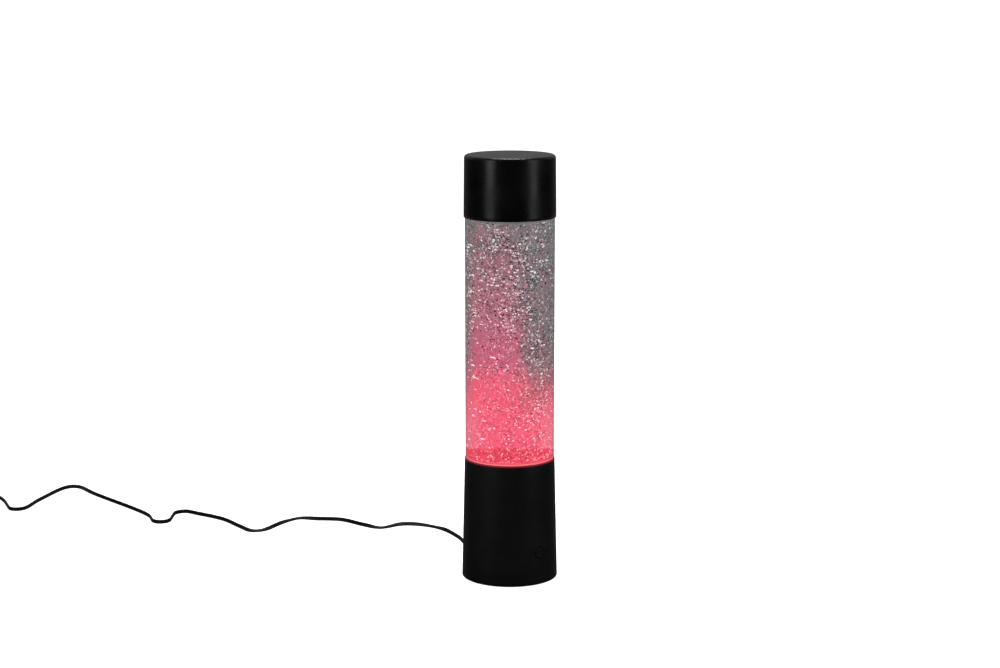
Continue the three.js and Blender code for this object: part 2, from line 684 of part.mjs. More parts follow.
// The cord's route, [x, y, height]: down from the strain relief, then over the table in the loose
// waves and the sharp folds of a lead that was packed in a small box, to the edge of the coil.
const CORD_ROUTE = [
  [0, RELIEF_TIP + GAP, CORD_HEIGHT],
  [0.9, 63.7, 10.7],
  [8.5, 75.5, 7.6],
  [24, 91.5, 2.3],
  [29, 106.5, LYING],
  [33.5, 116.5, LYING],
  [41.5, 159.5, LYING],
  [35.5, 178.5, LYING],
  [20.5, 194, LYING],
  [-3, 197.5, LYING],
  [-10.5, 215, LYING],
  [-17, 245, LYING],
  [-34, 263, LYING],
  [-44.5, 277.5, LYING],
  [-60.5, 276, LYING],
  [-96.5, 262.5, LYING],
  [-108, 267.5, LYING],
  [-109, 284.5, LYING],
  [-107.5, 321, LYING],
  [-116.5, 356, LYING],
  [-121, 370, LYING],
  [-131, 372, LYING],
  [-142.5, 360, LYING],
  [-153.5, 348.5, LYING],
  [-161.5, 349.5, LYING],
  [-165.5, 356, LYING],
  [-158, 380.5, LYING],
  [-159, 492.5, LYING],
  [-157.5, 528.5, LYING],
  [-166, 534.5, LYING],
  [-215.5, 504.5, LYING],
  [-244.5, 482.5, LYING],
  [-252.5, 485.5, LYING],
  [-255, 491.5, LYING],
  [-253.5, 496.5, LYING],
  [-243.5, 533, LYING],
  [-243.5, 562, LYING],
];

const PLUG_X = -301;
const PLUG_BACK = 552;
const PLUG_HEIGHT = 4;
const TAIL_ROUTE = [
  [-301, 573, PLUG_HEIGHT],
  [-301.5, 565, PLUG_HEIGHT],
  [PLUG_X, PLUG_BACK + GAP, PLUG_HEIGHT],
];

function strainRelief() {
  const outline = [
    [0, 36.2],
    [4.6, 36.2],
    [4.6, 39.7],
    [2.95, 39.7],
    [2.95, 43.3],
    [4.4, 43.3],
    [4.4, 44.9],
    [3.5, 45.7],
    [2.5, RELIEF_TIP],
    [0, RELIEF_TIP],
  ];
  return alongY(turned(outline, SMALL_SIDES), 0, CORD_HEIGHT);
}

function coilTie() {
  const middle = (COIL_INNER + COIL_OUTER) / 2;
  const wide = COIL_OUTER - COIL_INNER + 2 * GAP;
  const tall = COIL_TOP - COIL_BOTTOM + 2 * GAP;
  const skin = 0.6;
  const band = roundedRectangle(wide + 2 * skin, tall + 2 * skin, 1.2);
  band.holes.push(roundedRectangle(wide, tall, 0.8));
  const width = 4;
  const strap = new THREE.ExtrudeGeometry(band, { depth: width, bevelEnabled: false, curveSegments: 3 });
  return strap.translate(0, 0, -width / 2).rotateX(Math.PI / 2).translate(middle, 0, (COIL_TOP + COIL_BOTTOM) / 2);
}

const PLUG_BODY_LENGTH = 24;
const PLUG_NECK_LENGTH = 8;
const SHELL_LENGTH = 14;

function plugBody() {
  const body = new THREE.ExtrudeGeometry(roundedRectangle(14.4, 6.4, 2.2), {
    depth: PLUG_BODY_LENGTH - 1.4,
    bevelThickness: 0.7,
    bevelSize: 0.7,
    bevelSegments: 2,
    curveSegments: 3,
  }).translate(0, 0, -PLUG_NECK_LENGTH - PLUG_BODY_LENGTH + 0.7);
  const neck = turned([
    [0, -PLUG_NECK_LENGTH - 1],
    [3.4, -PLUG_NECK_LENGTH - 1],
    [2.5, 0],
    [0, 0],
  ], SMALL_SIDES);
  return carved(body, { added: [neck] });
}

function plugShell() {
  const outline = roundedRectangle(12, 4.5, 0.6);
  outline.holes.push(roundedRectangle(11.4, 3.9, 0.3));
  const tube = new THREE.ExtrudeGeometry(outline, { depth: SHELL_LENGTH, bevelEnabled: false, curveSegments: 2 });
  const windows = [-2.8, 2.8].map((x) => block(2.2, 10, 2.2, x, 0, 4.5));
  return carved(tube, { removed: windows });
}

const plugParts = new THREE.Group();
plugParts.position.set(PLUG_X, PLUG_BACK, PLUG_HEIGHT);
plugParts.rotation.x = -Math.PI / 2;
const shellBack = -PLUG_NECK_LENGTH - PLUG_BODY_LENGTH - GAP;
plugParts.add(piece('plug_body', plugBody(), blackPlastic()));
const plugTube = piece('plug_shell', plugShell(), steel());
plugTube.position.z = shellBack - SHELL_LENGTH;
plugParts.add(plugTube);
plugParts.add(piece('plug_tongue',
  block(10.8, 1.7, SHELL_LENGTH - 1, 0, -0.9, shellBack - (SHELL_LENGTH - 1) / 2), whitePlastic()));

const cord = new THREE.Group();
cord.add(piece('strain_relief', strainRelief(), rubber()));
cord.add(piece('cord', swept(CORD_ROUTE, ovalSection(CORD_THICKNESS, CORD_WIDTH), 72), cordBlack()));
const coil = piece('cord_coil', washer(COIL_INNER, COIL_OUTER, COIL_BOTTOM, COIL_TOP, BIG_SIDES), cordBlack());
coil.position.set(...COIL_CENTRE, 0);
cord.add(coil);
const tie = piece('coil_tie', coilTie(), blackPlastic());
tie.position.set(...COIL_CENTRE, 0);
tie.rotation.z = THREE.MathUtils.degToRad(60);
cord.add(tie);
cord.add(piece('cord_tail', swept(TAIL_ROUTE, ovalSection(CORD_THICKNESS, CORD_WIDTH), 4), cordBlack()));
cord.add(plugParts);

// ---------------------------------------------------------------- the lamp
const lamp = new THREE.Group();
lamp.add(base, button, light, motor, rotor, tank, impeller, cap, leads, cord);

export default lamp;
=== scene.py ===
import json
import math

import bpy
import numpy as np
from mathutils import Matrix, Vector


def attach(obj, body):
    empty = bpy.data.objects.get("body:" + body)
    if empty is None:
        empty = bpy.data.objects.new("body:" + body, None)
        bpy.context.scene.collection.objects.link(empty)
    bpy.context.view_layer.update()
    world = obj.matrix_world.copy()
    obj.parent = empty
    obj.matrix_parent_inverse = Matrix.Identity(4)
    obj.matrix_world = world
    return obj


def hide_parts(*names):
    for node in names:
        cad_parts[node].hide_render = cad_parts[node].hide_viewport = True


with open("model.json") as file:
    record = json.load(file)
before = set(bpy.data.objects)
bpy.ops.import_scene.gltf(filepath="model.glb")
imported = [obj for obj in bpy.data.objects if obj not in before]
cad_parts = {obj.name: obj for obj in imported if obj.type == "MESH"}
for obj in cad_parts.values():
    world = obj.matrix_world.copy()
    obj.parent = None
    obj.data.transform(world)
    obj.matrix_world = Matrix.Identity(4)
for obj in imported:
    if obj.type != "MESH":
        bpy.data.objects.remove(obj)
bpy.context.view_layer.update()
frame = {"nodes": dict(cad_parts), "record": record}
NODES = frame["nodes"]
SCENE = bpy.context.scene
MM = 0.001

# -------- camera
VIEW_AZIMUTH = -39.0  # degrees; 0 looks along +Y
RIGHT = (math.cos(math.radians(VIEW_AZIMUTH)), math.sin(math.radians(VIEW_AZIMUTH)))
AHEAD = (-RIGHT[1], RIGHT[0])
CAMERA_TILT = 79.8  # degrees; 90 looks level
CAMERA_AT = (-1.1658, -1.4257, 0.5535)
LENS_LENGTH = 75.34
SENSOR_WIDTH = 36.0


def add_camera():
    data = bpy.data.cameras.new("camera")
    data.sensor_width = SENSOR_WIDTH
    data.lens = LENS_LENGTH
    data.clip_start = 0.02
    camera = bpy.data.objects.new("camera", data)
    camera.location = CAMERA_AT
    camera.rotation_euler = (math.radians(CAMERA_TILT), 0, math.radians(VIEW_AZIMUTH))
    SCENE.collection.objects.link(camera)
    SCENE.camera = camera


add_camera()

# -------- sizes that the CAD gives, in mm
BASE_BOTTOM = 0.2
BASE_TOP = 110.0
BASE_FOOT_RADIUS = 43.2
BASE_RIM_RADIUS = 40.6
BASE_WALL = 2.4
BUTTON_HEIGHT = 29.0
CORD_HEIGHT = 11.0
TANK_RADIUS = 40.0
TUBE_INSIDE = 37.5
TANK_BOTTOM = 110.3
TANK_TOP = 327.4
LIQUID_RADIUS = 37.0
LIQUID_BOTTOM = 112.8
LIQUID_TOP = 325.1
CAP_BOTTOM = 327.7
TOTAL_HEIGHT = 383.0
SIDES = 192  # of the base's and tank's outer walls
TANK_SIDES = 160  # of the pieces inside the tank's wall


# -------- mesh helpers
def piece(name, verts, faces, materials, body="base", replaces=(), slot=None, sharp=35, face_slots=None):
    """A mesh object from vertices in millimetres, riding on a body."""
    mesh = bpy.data.meshes.new(name)
    mesh.from_pydata([tuple(c * MM for c in v) for v in verts], [], faces)
    for material in materials:
        mesh.materials.append(material)
    if face_slots is not None:
        mesh.polygons.foreach_set("material_index", face_slots)
    mesh.polygons.foreach_set("use_smooth", [True] * len(mesh.polygons))
    mesh.update()
    mesh.set_sharp_from_angle(angle=math.radians(sharp))
    obj = bpy.data.objects.new(name, mesh)
    SCENE.collection.objects.link(obj)
    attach(obj, body)
    if replaces:
        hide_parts(*replaces)
    return obj


def outward(verts, faces):
    """The faces, all turned over if the closed form is inside out."""
    points = np.array(verts, float)
    total = 0.0
    for face in faces:
        a = points[face[0]]
        for b, c in zip(face[1:], face[2:]):
            total += a @ np.cross(points[b], points[c])
    return faces if total > 0 else [tuple(reversed(f)) for f in faces]


def turned(profile, sides):
    """Vertices and faces of a closed outline of (radius, height) turned about Z."""
    verts, rows, faces = [], [], []
    for radius, height in profile:
        if radius == 0:
            rows.append([len(verts)] * sides)
            verts.append((0, 0, height))
            continue
        rows.append(list(range(len(verts), len(verts) + sides)))
        for i in range(sides):
            a = 2 * math.pi * i / sides
            verts.append((radius * math.cos(a), radius * math.sin(a), height))
    pairs = list(zip(rows, rows[1:]))
    if profile[0][0] and profile[-1][0]:
        pairs.append((rows[-1], rows[0]))
    for low, high in pairs:
        for i in range(sides):
            k = (i + 1) % sides
            corners = [low[i], low[k], high[k], high[i]]
            faces.append(tuple(dict.fromkeys(corners)))
    return verts, outward(verts, [f for f in faces if len(f) > 2])


def joined(*parts):
    """Several (vertices, faces) pairs as one."""
    verts, faces = [], []
    for more_verts, more_faces in parts:
        start = len(verts)
        verts += list(more_verts)
        faces += [tuple(start + i for i in f) for f in more_faces]
    return verts, faces


def moved(form, x=0, y=0, z=0):
    verts, faces = form
    return [(a + x, b + y, c + z) for a, b, c in verts], faces


def along_y(form, x, height):
    """Lays a form that was turned about Z on an axis along +Y."""
    verts, faces = form
    return [(a + x, c, height - b) for a, b, c in verts], faces


def arc(centre_r, centre_z, radius, start, end, steps):
    """Points of a rounded edge in a profile, from one angle in degrees to another."""
    out = []
    for i in range(steps + 1):
        a = math.radians(start + (end - start) * i / steps)
        out.append((centre_r + radius * math.cos(a), centre_z + radius * math.sin(a)))
    return out


def on_ring(radius, degrees):
    return radius * math.cos(math.radians(degrees)), radius * math.sin(math.radians(degrees))


# -------- node helpers
class Graph:
    """Short ways to add nodes to the tree of one material or of the world."""

    def __init__(self, name, kind="materials", surface="Principled BSDF", space="Object"):
        self.material = getattr(bpy.data, kind).new(name)
        self.material.use_nodes = True
        self.tree = self.material.node_tree
        self.surface = self.tree.nodes[surface]
        self.point = self.add("ShaderNodeTexCoord").outputs[space]

    def add(self, kind, inputs=None, **settings):
        node = self.tree.nodes.new(kind)
        for key, value in settings.items():
            setattr(node, key, value)
        for key, value in (inputs or {}).items():
            self.put(node.inputs[key], value)
        return node

    def put(self, socket, value):
        if isinstance(value, bpy.types.NodeSocket):
            self.tree.links.new(value, socket)
        else:
            socket.default_value = value

    def set(self, **inputs):
        for key, value in inputs.items():
            self.put(self.surface.inputs[key.replace("_", " ")], value)

    def math(self, operation, a, b=0.0, clamp=False):
        return self.add("ShaderNodeMath", {0: a, 1: b}, operation=operation, use_clamp=clamp).outputs[0]

    def dot(self, a, b):
        return self.add("ShaderNodeVectorMath", {0: a, 1: b}, operation="DOT_PRODUCT").outputs["Value"]

    def scaled(self, factors, point=None):
        node = self.add("ShaderNodeVectorMath", {0: point or self.point, 1: factors}, operation="MULTIPLY")
        return node.outputs[0]

    def noise(self, scale, detail=2.0, point=None, roughness=0.5):
        inputs = {"Vector": point or self.point, "Scale": scale, "Detail": detail, "Roughness": roughness}
        return self.add("ShaderNodeTexNoise", inputs).outputs["Fac"]

    def cells(self, scale, point=None, output="Color", feature="F1"):
        inputs = {"Vector": point or self.point, "Scale": scale}
        return self.add("ShaderNodeTexVoronoi", inputs, feature=feature).outputs[output]

    def fit(self, value, low, high, to_low=0.0, to_high=1.0, smooth=True):
        kind = "SMOOTHSTEP" if smooth else "LINEAR"
        inputs = {0: value, 1: low, 2: high, 3: to_low, 4: to_high}
        return self.add("ShaderNodeMapRange", inputs, interpolation_type=kind).outputs[0]

    def grey(self, value):
        return self.add("ShaderNodeCombineXYZ", {0: value, 1: value, 2: value}).outputs[0]

    def mix(self, amount, a, b, blend="MIX"):
        node = self.add("ShaderNodeMix", data_type="RGBA", blend_type=blend)
        for socket, value in ((node.inputs[0], amount), (node.inputs[6], a), (node.inputs[7], b)):
            self.put(socket, (*value, 1) if isinstance(value, tuple) else value)
        return node.outputs[2]

    def axes(self, point=None):
        return self.add("ShaderNodeSeparateXYZ", {0: point or self.point}).outputs

    def curve(self, value, stops):
        """A value that follows (position, value) stops, with position from 0 to 1."""
        ramp = self.add("ShaderNodeValToRGB", {0: value})
        elements = ramp.color_ramp.elements
        while len(elements) < len(stops):
            elements.new(0.5)
        for element, (position, level) in zip(elements, stops):
            element.position = position
            element.color = (level, level, level, 1)
        return ramp.outputs[0]

    def bump(self, height, distance, strength=1.0, under=None):
        inputs = {"Height": height, "Distance": distance, "Strength": strength}
        if under is not None:
            inputs["Normal"] = under
        return self.add("ShaderNodeBump", inputs).outputs[0]


def moulded_graph(name, colour, roughness, grain=2400, depth=0.00003, dust=0.0, worn=0.0, specular=0.5):
    """Moulded plastic or rubber: a fine grain, slow changes of gloss, a little dust, paler worn edges."""
    g = Graph(name)
    cloud = g.noise(38, 4)
    fine = g.noise(grain, 3)
    level = tuple(c * 0.86 for c in colour)
    tint = g.mix(g.fit(cloud, 0.3, 0.7), level, tuple(c * 1.14 for c in colour))
    if worn:
        edge = g.add("ShaderNodeNewGeometry").outputs["Pointiness"]
        amount = g.math("MULTIPLY", g.fit(edge, 0.52, 0.58), worn)
        scuffs = g.math("MULTIPLY", amount, g.fit(g.noise(420, 3), 0.35, 0.65))
        tint = g.mix(scuffs, tint, tuple(min(1, c * 3 + 0.02) for c in colour))
    if dust:
        specks = g.fit(g.cells(700, output="Distance"), 0.16, 0.06)
        rare = g.fit(g.noise(90, 2), 0.55, 0.75)
        tint = g.mix(g.math("MULTIPLY", g.math("MULTIPLY", specks, rare), dust), tint, (0.25, 0.25, 0.25))
    g.set(Base_Color=tint, Roughness=g.fit(cloud, 0.25, 0.75, roughness - 0.05, roughness + 0.06))
    g.surface.inputs["Specular IOR Level"].default_value = specular
    g.set(Normal=g.bump(fine, depth))
    return g


def moulded(*settings, **more):
    return moulded_graph(*settings, **more).material


def brushed(name, colour, roughness, along=(1, 1, 12), scratches=0.3):
    """Metal with fine brushing across the given direction and a few deeper scratches."""
    g = Graph(name)
    lines = g.noise(900, 3, point=g.scaled(along))
    cloud = g.noise(60, 3)
    scratch = g.fit(g.noise(260, 1, point=g.scaled((9, 1, 2))), 0.66, 0.72)
    tint = g.mix(g.fit(lines, 0.25, 0.75), tuple(c * 0.82 for c in colour), colour)
    tint = g.mix(g.math("MULTIPLY", scratch, scratches), tint, tuple(c * 0.5 for c in colour))
    g.set(Base_Color=tint, Metallic=1.0)
    g.set(Roughness=g.fit(cloud, 0.3, 0.7, roughness - 0.06, roughness + 0.1))
    g.set(Normal=g.bump(lines, 0.00001))
    return g.material


# -------- the tank's painted light
GREY = (0.160, 0.154, 0.159)
ROSE = (0.66, 0.105, 0.200)
RED = (0.93, 0.105, 0.18)
PINK = (0.93, 0.22, 0.30)
SETTLED_GLOW_RED = (0.86, 0.052, 0.105)
DEEP_RED = (0.80, 0.03, 0.06)
GLOW_FROM, GLOW_TO = 0.112, 0.326  # heights in metres that the stops below count from 0 to 1

# How much painted red glow the liquid has at each height, on the lamp's redder side and on its greyer side.
PLUME = [
    (0.0, 1.0), (0.2, 1.0), (0.34, 0.9), (0.47, 0.81), (0.56, 0.63), (0.66, 0.46), (0.84, 0.28), (0.98, 0.1),
]
CALM = [(0.0, 1.0), (0.17, 1.0), (0.27, 0.62), (0.4, 0.22), (0.5, 0.17), (0.62, 0.11), (1.0, 0.03)]


def across_tank(g):
    """How far a point is towards the lamp's redder side (-1) or its greyer side (1)."""
    reach = 0.0374
    return g.dot(g.point, (RIGHT[0] / reach, RIGHT[1] / reach, 0.0))


def lit_liquid(g):
    """The liquid's colour, all painted light given out as a glow: red where the light from below spreads in
    it, grey where it is only clear.
    """
    z = g.fit(g.axes()["Z"], GLOW_FROM, GLOW_TO, smooth=False)
    across = across_tank(g)
    broad = g.math("SUBTRACT", g.noise(26, 2, point=g.scaled((1, 1, 0.55))), 0.5)
    small = g.math("SUBTRACT", g.noise(150, 4), 0.5)
    wander = g.math("ADD", across, g.math("MULTIPLY", broad, 1.5))
    wander = g.math("ADD", wander, g.math("MULTIPLY", small, 0.9))
    side = g.fit(wander, -0.05, 0.5)
    red = g.mix(side, g.curve(z, PLUME), g.curve(z, CALM))
    # Painted shade: less of the red glow towards the tank's left and right edges as the camera sees them,
    # more so higher up.
    rim = g.math("MULTIPLY", g.fit(across, -0.76, -0.98), g.fit(z, 0.12, 0.5, 0.13, 0.88))
    right_rim = g.math("MULTIPLY", g.fit(across, 0.72, 0.95), g.fit(z, 0.3, 0.6))
    pale = g.math("MULTIPLY", g.math("MAXIMUM", rim, right_rim), 0.8)
    red = g.math("MULTIPLY", red, g.math("SUBTRACT", 1.0, pale))
    red = g.math("ADD", red, g.math("MULTIPLY", small, g.fit(z, 0.15, 0.3, 0.0, 0.6)), clamp=True)
    colour = g.mix(red, GREY, g.mix(g.fit(z, 0.45, 0.3), ROSE, RED))
    # Painted glow: a pink band along both edges as the camera sees them, strongest near the bottom.
    haze_and_painted_glow = g.math("MULTIPLY", g.fit(g.math("ABSOLUTE", across), 0.55, 1.0), g.fit(z, 0.32, 0.1))
    colour = g.mix(g.math("MULTIPLY", haze_and_painted_glow, 0.7), colour, PINK)
    # Painted light: the deeper red of the glowing floor and of the glitter settled on it; its top edge rises
    # towards the front and back so that it reads level from the camera's side.
    bulge = g.math("SUBTRACT", 1.0, g.math("MULTIPLY", across, across))
    bulge = g.math("SQRT", g.math("MAXIMUM", bulge, 0.0))
    settled = g.math("SUBTRACT", g.axes()["Z"], g.math("MULTIPLY", bulge, 0.0078))
    settled = g.math("ADD", settled, g.math("MULTIPLY", small, 0.004))
    return g.mix(g.fit(settled, 0.1186, 0.1172), colour, SETTLED_GLOW_RED), red


def glow(g, colour, base=(0.02, 0.018, 0.018)):
    g.set(Base_Color=(*base, 1.0), Emission_Color=colour, Emission_Strength=1.0)


def liquid_material():
    g = Graph("glitter_liquid_look")
    colour, red = lit_liquid(g)
    coarse = g.axes(g.cells(760))
    fine = g.math("SUBTRACT", g.axes(g.cells(1300))["X"], 0.5)
    across = across_tank(g)
    crowd = g.fit(g.noise(70, 3), 0.36, 0.62, 0.35, 1.0)
    busy = g.math("MULTIPLY", g.fit(red, 0.25, 0.95, 1.0, 0.58), g.fit(across, -0.8, -0.35, 0.4, 1.0))
    busy = g.math("MULTIPLY", g.math("MULTIPLY", busy, crowd), g.fit(across, 0.95, 0.7, 0.4, 1.0))
    shade = g.math("MULTIPLY", g.math("SUBTRACT", coarse["X"], 0.56), 1.3)
    shade = g.math("ADD", shade, g.math("MULTIPLY", fine, 1.1))
    shade = g.math("MAXIMUM", g.math("ADD", 1.0, g.math("MULTIPLY", shade, busy)), 0.06)
    spark = g.math("MULTIPLY", g.fit(coarse["Y"], 0.87, 0.97, 0.0, 0.6), busy)
    lit = g.mix(1.0, colour, g.grey(shade), blend="MULTIPLY")
    glow(g, g.mix(1.0, lit, g.grey(spark), blend="ADD"))
    g.set(Roughness=0.35, Specular_IOR_Level=0.1)
    return g.material


def flake_material():
    """Foil glitter that glows with painted light. The mesh keeps each flake's share of the liquid's painted
    glow, and of a painted white glint.
    """
    g = Graph("glitter_look")
    kept = g.axes(g.add("ShaderNodeAttribute", attribute_name="flake").outputs["Color"])
    share = g.grey(kept["X"])
    lit = g.mix(1.0, lit_liquid(g)[0], share, blend="MULTIPLY")
    foil = g.fit(g.noise(2600, 2), 0.3, 0.7, 0.75, 1.1)
    shine = g.math("MULTIPLY", kept["Y"], foil)
    colour = g.mix(1.0, lit, g.grey(shine), blend="ADD")
    glow(g, colour)
    g.set(Roughness=0.3, Metallic=0.2, Specular_IOR_Level=0.2)
    g.set(Normal=g.bump(g.noise(3000, 2), 0.00001))
    return g.material


def clear_plastic(name, inside=False):
    """Clear acrylic. The wall that the liquid wets bends light very little, so it is nearly unseen."""
    g = Graph(name)
    haze_and_painted_glow = g.noise(50, 4)
    hairs = g.fit(g.noise(240, 2, point=g.scaled((1, 1, 0.08))), 0.66, 0.74)
    if inside:
        g.set(Base_Color=(0.9, 0.92, 0.93, 1), Alpha=g.fit(haze_and_painted_glow, 0.3, 0.8, 0.01, 0.04), Roughness=0.3)
        g.set(Specular_IOR_Level=0.1)
    else:
        g.set(Base_Color=(0.97, 0.975, 0.98, 1), Transmission_Weight=1.0, IOR=1.45)
        g.set(Specular_Tint=(0.2, 0.2, 0.2, 1))
        rough = g.math("ADD", g.fit(haze_and_painted_glow, 0.3, 0.7, 0.015, 0.05), g.math("MULTIPLY", hairs, 0.04))
        g.set(Roughness=rough, Normal=g.bump(g.noise(16, 1), 0.00004, 0.4))
        passing = g.add("ShaderNodeBsdfTransparent", {"Color": (0.94, 0.94, 0.95, 1)})
        shadow = g.add("ShaderNodeLightPath").outputs["Is Shadow Ray"]
        both = g.add("ShaderNodeMixShader", {0: shadow, 1: g.surface.outputs[0], 2: passing.outputs[0]})
        g.tree.links.new(both.outputs[0], g.tree.nodes["Material Output"].inputs[0])
    return g.material


def frosted_material():
    """The tank's top piece: the same plastic, moulded milky, that takes a little of the tank's light."""
    g = Graph("tank_top_look")
    cloud = g.noise(45, 4)
    g.set(Base_Color=g.mix(cloud, (0.34, 0.34, 0.35), (0.44, 0.44, 0.45)))
    g.set(Roughness=g.fit(cloud, 0.3, 0.7, 0.3, 0.45))
    lit = g.fit(g.axes()["Z"], 0.336, 0.328, 0.0, 0.07)
    g.set(Emission_Color=g.grey(lit), Emission_Strength=1.0)
    g.set(Normal=g.bump(g.noise(1200, 2), 0.00002))
    return g.material


def tank_floor_material():
    """The clear floor of the tank, glowing with the red light of the six lamps under it."""
    g = Graph("tank_floor_look")
    axes = g.axes()
    near = None
    for i in range(6):
        x, y = on_ring(0.022, i * 60)
        away = g.add("ShaderNodeVectorMath", {0: g.scaled((1, 1, 0)), 1: (x, y, 0)}, operation="DISTANCE")
        spot = g.fit(away.outputs["Value"], 0.012, 0.002)
        near = spot if near is None else g.math("MAXIMUM", near, spot)
    mottled = g.fit(g.noise(170, 4), 0.3, 0.7)
    colour = g.mix(mottled, DEEP_RED, (0.90, 0.09, 0.13))
    colour = g.mix(g.math("MULTIPLY", near, 0.5), colour, (1.0, 0.16, 0.19))
    # Painted shade: the glow dims lower down the floor piece; over that, a painted pink band runs round the
    # lower part of its side.
    low = g.fit(axes["Z"], 0.100, 0.112, 0.25, 1.0)
    colour = g.mix(low, (0.12, 0.004, 0.008), colour)
    colour = g.mix(g.fit(axes["Z"], 0.1118, 0.1108), colour, (0.93, 0.19, 0.24))
    glow(g, colour, base=(0.05, 0.01, 0.012))
    g.set(Roughness=g.fit(g.noise(80), 0.3, 0.7, 0.25, 0.4), Normal=g.bump(g.noise(700, 2), 0.00003))
    return g.material


def base_material():
    """The base's black plastic, with the tank's red light caught on the rim."""
    g = moulded_graph("base_black_look", (0.0038, 0.0038, 0.0040), 0.40, dust=0.02, worn=0.25, specular=0.23)
    g.set(Emission_Color=g.mix(g.fit(g.axes()["Z"], 0.1084, 0.1098), (0, 0, 0), (0.22, 0.008, 0.014)))
    g.set(Emission_Strength=1.0)
    return g.material


def circuit_material():
    """Green solder mask over copper tracks, with tinned pads."""
    g = Graph("circuit_board_look")
    tracks = g.fit(g.cells(330, output="Distance", feature="DISTANCE_TO_EDGE"), 0.10, 0.05)
    pads = g.fit(g.cells(330, output="Distance"), 0.20, 0.14)
    tint = g.mix(tracks, (0.012, 0.085, 0.032), (0.03, 0.17, 0.06))
    tint = g.mix(pads, tint, (0.62, 0.62, 0.6))
    g.set(Base_Color=tint, Metallic=g.math("MULTIPLY", pads, 0.9), Roughness=g.fit(pads, 0, 1, 0.3, 0.4))
    g.set(Normal=g.bump(g.math("MAXIMUM", tracks, pads), 0.00004))
    return g.material


def led_material():
    """White lamp bodies with a yellow window in the recess on top."""
    g = Graph("led_look")
    height = g.axes()["Z"]
    up = g.axes(g.add("ShaderNodeNewGeometry").outputs["Normal"])["Z"]
    window = g.math("MULTIPLY", g.fit(height, 0.09745, 0.0974), g.fit(up, 0.5, 0.9))
    tint = g.mix(g.noise(900, 3), (0.78, 0.76, 0.70), (0.88, 0.87, 0.82))
    g.set(Base_Color=g.mix(window, tint, (0.85, 0.52, 0.06)), Roughness=g.fit(window, 0, 1, 0.45, 0.2))
    g.set(Emission_Color=g.mix(window, (0.0, 0.0, 0.0), (0.9, 0.05, 0.06)), Emission_Strength=1.0)
    g.set(Normal=g.bump(g.noise(2500), 0.00002))
    return g.material


BLACK_BASE = base_material()
BLACK_CAP = moulded("cap_black_look", (0.0012, 0.0012, 0.0013), 0.30, worn=0.1, specular=0.38)
BLACK_INNER = moulded("inner_black_look", (0.012, 0.012, 0.012), 0.5)
BLACK_PLUG = moulded("plug_black_look", (0.006, 0.006, 0.006), 0.5, dust=0.05, worn=0.3)
RUBBER = moulded("rubber_look", (0.008, 0.008, 0.008), 0.7, grain=1500, depth=0.00006, dust=0.1,
                 specular=0.3)
CORD_SKIN = moulded("cord_black_look", (0.004, 0.004, 0.004), 0.45, grain=1800, dust=0.03, specular=0.3)
LEAD_RED = moulded("lead_red_look", (0.36, 0.012, 0.012), 0.45)
WHITE = moulded("white_plastic_look", (0.72, 0.72, 0.69), 0.42, dust=0.15)
STEEL = brushed("steel_look", (0.60, 0.60, 0.61), 0.32)
SCREW_STEEL = brushed("screw_steel_look", (0.50, 0.51, 0.52), 0.3, along=(8, 1, 1))
MAGNET = brushed("magnet_plate_look", (0.70, 0.69, 0.67), 0.22, along=(1, 1, 1), scratches=0.15)
CIRCUIT = circuit_material()
LED = led_material()
CLEAR = clear_plastic("clear_tank_look")
CLEAR_INSIDE = clear_plastic("clear_tank_wetted_look", inside=True)

# -------- the cord's route
# The same points as the CAD cord's route, in millimetres, from the strain relief to the coil's edge.
LYING = 1.1
ROUTE = [
    (0, 57.3, 11), (0.9, 63.7, 10.7), (8.5, 75.5, 7.6), (24, 91.5, 2.3), (29, 106.5, LYING),
    (33.5, 116.5, LYING), (41.5, 159.5, LYING), (35.5, 178.5, LYING), (20.5, 194, LYING), (-3, 197.5, LYING),
    (-10.5, 215, LYING), (-17, 245, LYING), (-34, 263, LYING), (-44.5, 277.5, LYING), (-60.5, 276, LYING),
    (-96.5, 262.5, LYING), (-108, 267.5, LYING), (-109, 284.5, LYING), (-107.5, 321, LYING),
    (-116.5, 356, LYING), (-121, 370, LYING), (-131, 372, LYING), (-142.5, 360, LYING),
    (-153.5, 348.5, LYING), (-161.5, 349.5, LYING), (-165.5, 356, LYING), (-158, 380.5, LYING),
    (-159, 492.5, LYING),
    (-157.5, 528.5, LYING), (-166, 534.5, LYING), (-215.5, 504.5, LYING), (-244.5, 482.5, LYING),
    (-252.5, 485.5, LYING), (-255, 491.5, LYING), (-253.5, 496.5, LYING), (-243.5, 533, LYING),
    (-243.5, 562, LYING),
]
COIL_CENTRE = (-269.5, 578.0)
COIL_RADIUS = 26.0
COIL_PITCH = 2.3
COIL_END = 1515.0  # degrees wound before the inner end climbs over the turns
TAIL_ANGLE = 1629.0  # degrees at which the inner end leaves the coil for the plug
TAIL_RADIUS = 31.9
COIL_HEIGHT = 2.08  # of the cord's middle where it stands on edge in the coil
CROSSING_HEIGHT = 5.35  # and where it lies flat over the turns
CORD_STEP = 1.6
PLUG_X = -301.0
PLUG_BACK = 552.0
PLUG_HEIGHT = 4.0
CORD_THICKNESS = 2.0

# How the flat cord stands along its length: (distance from the strain relief in mm, degrees of twist).
# 0 lies flat and 90 stands on edge, as a flat cord must where it bends on the table.
TWIST = [
    (-10, 0), (20, 10), (62, 84), (96, 88), (121, 10), (150, 60), (178, 6), (205, 84), (245, 90), (281, 8),
    (310, 72), (335, 14), (362, 84), (645, 92), (669, 38), (698, 84), (850, 88), (1000, 92),
]


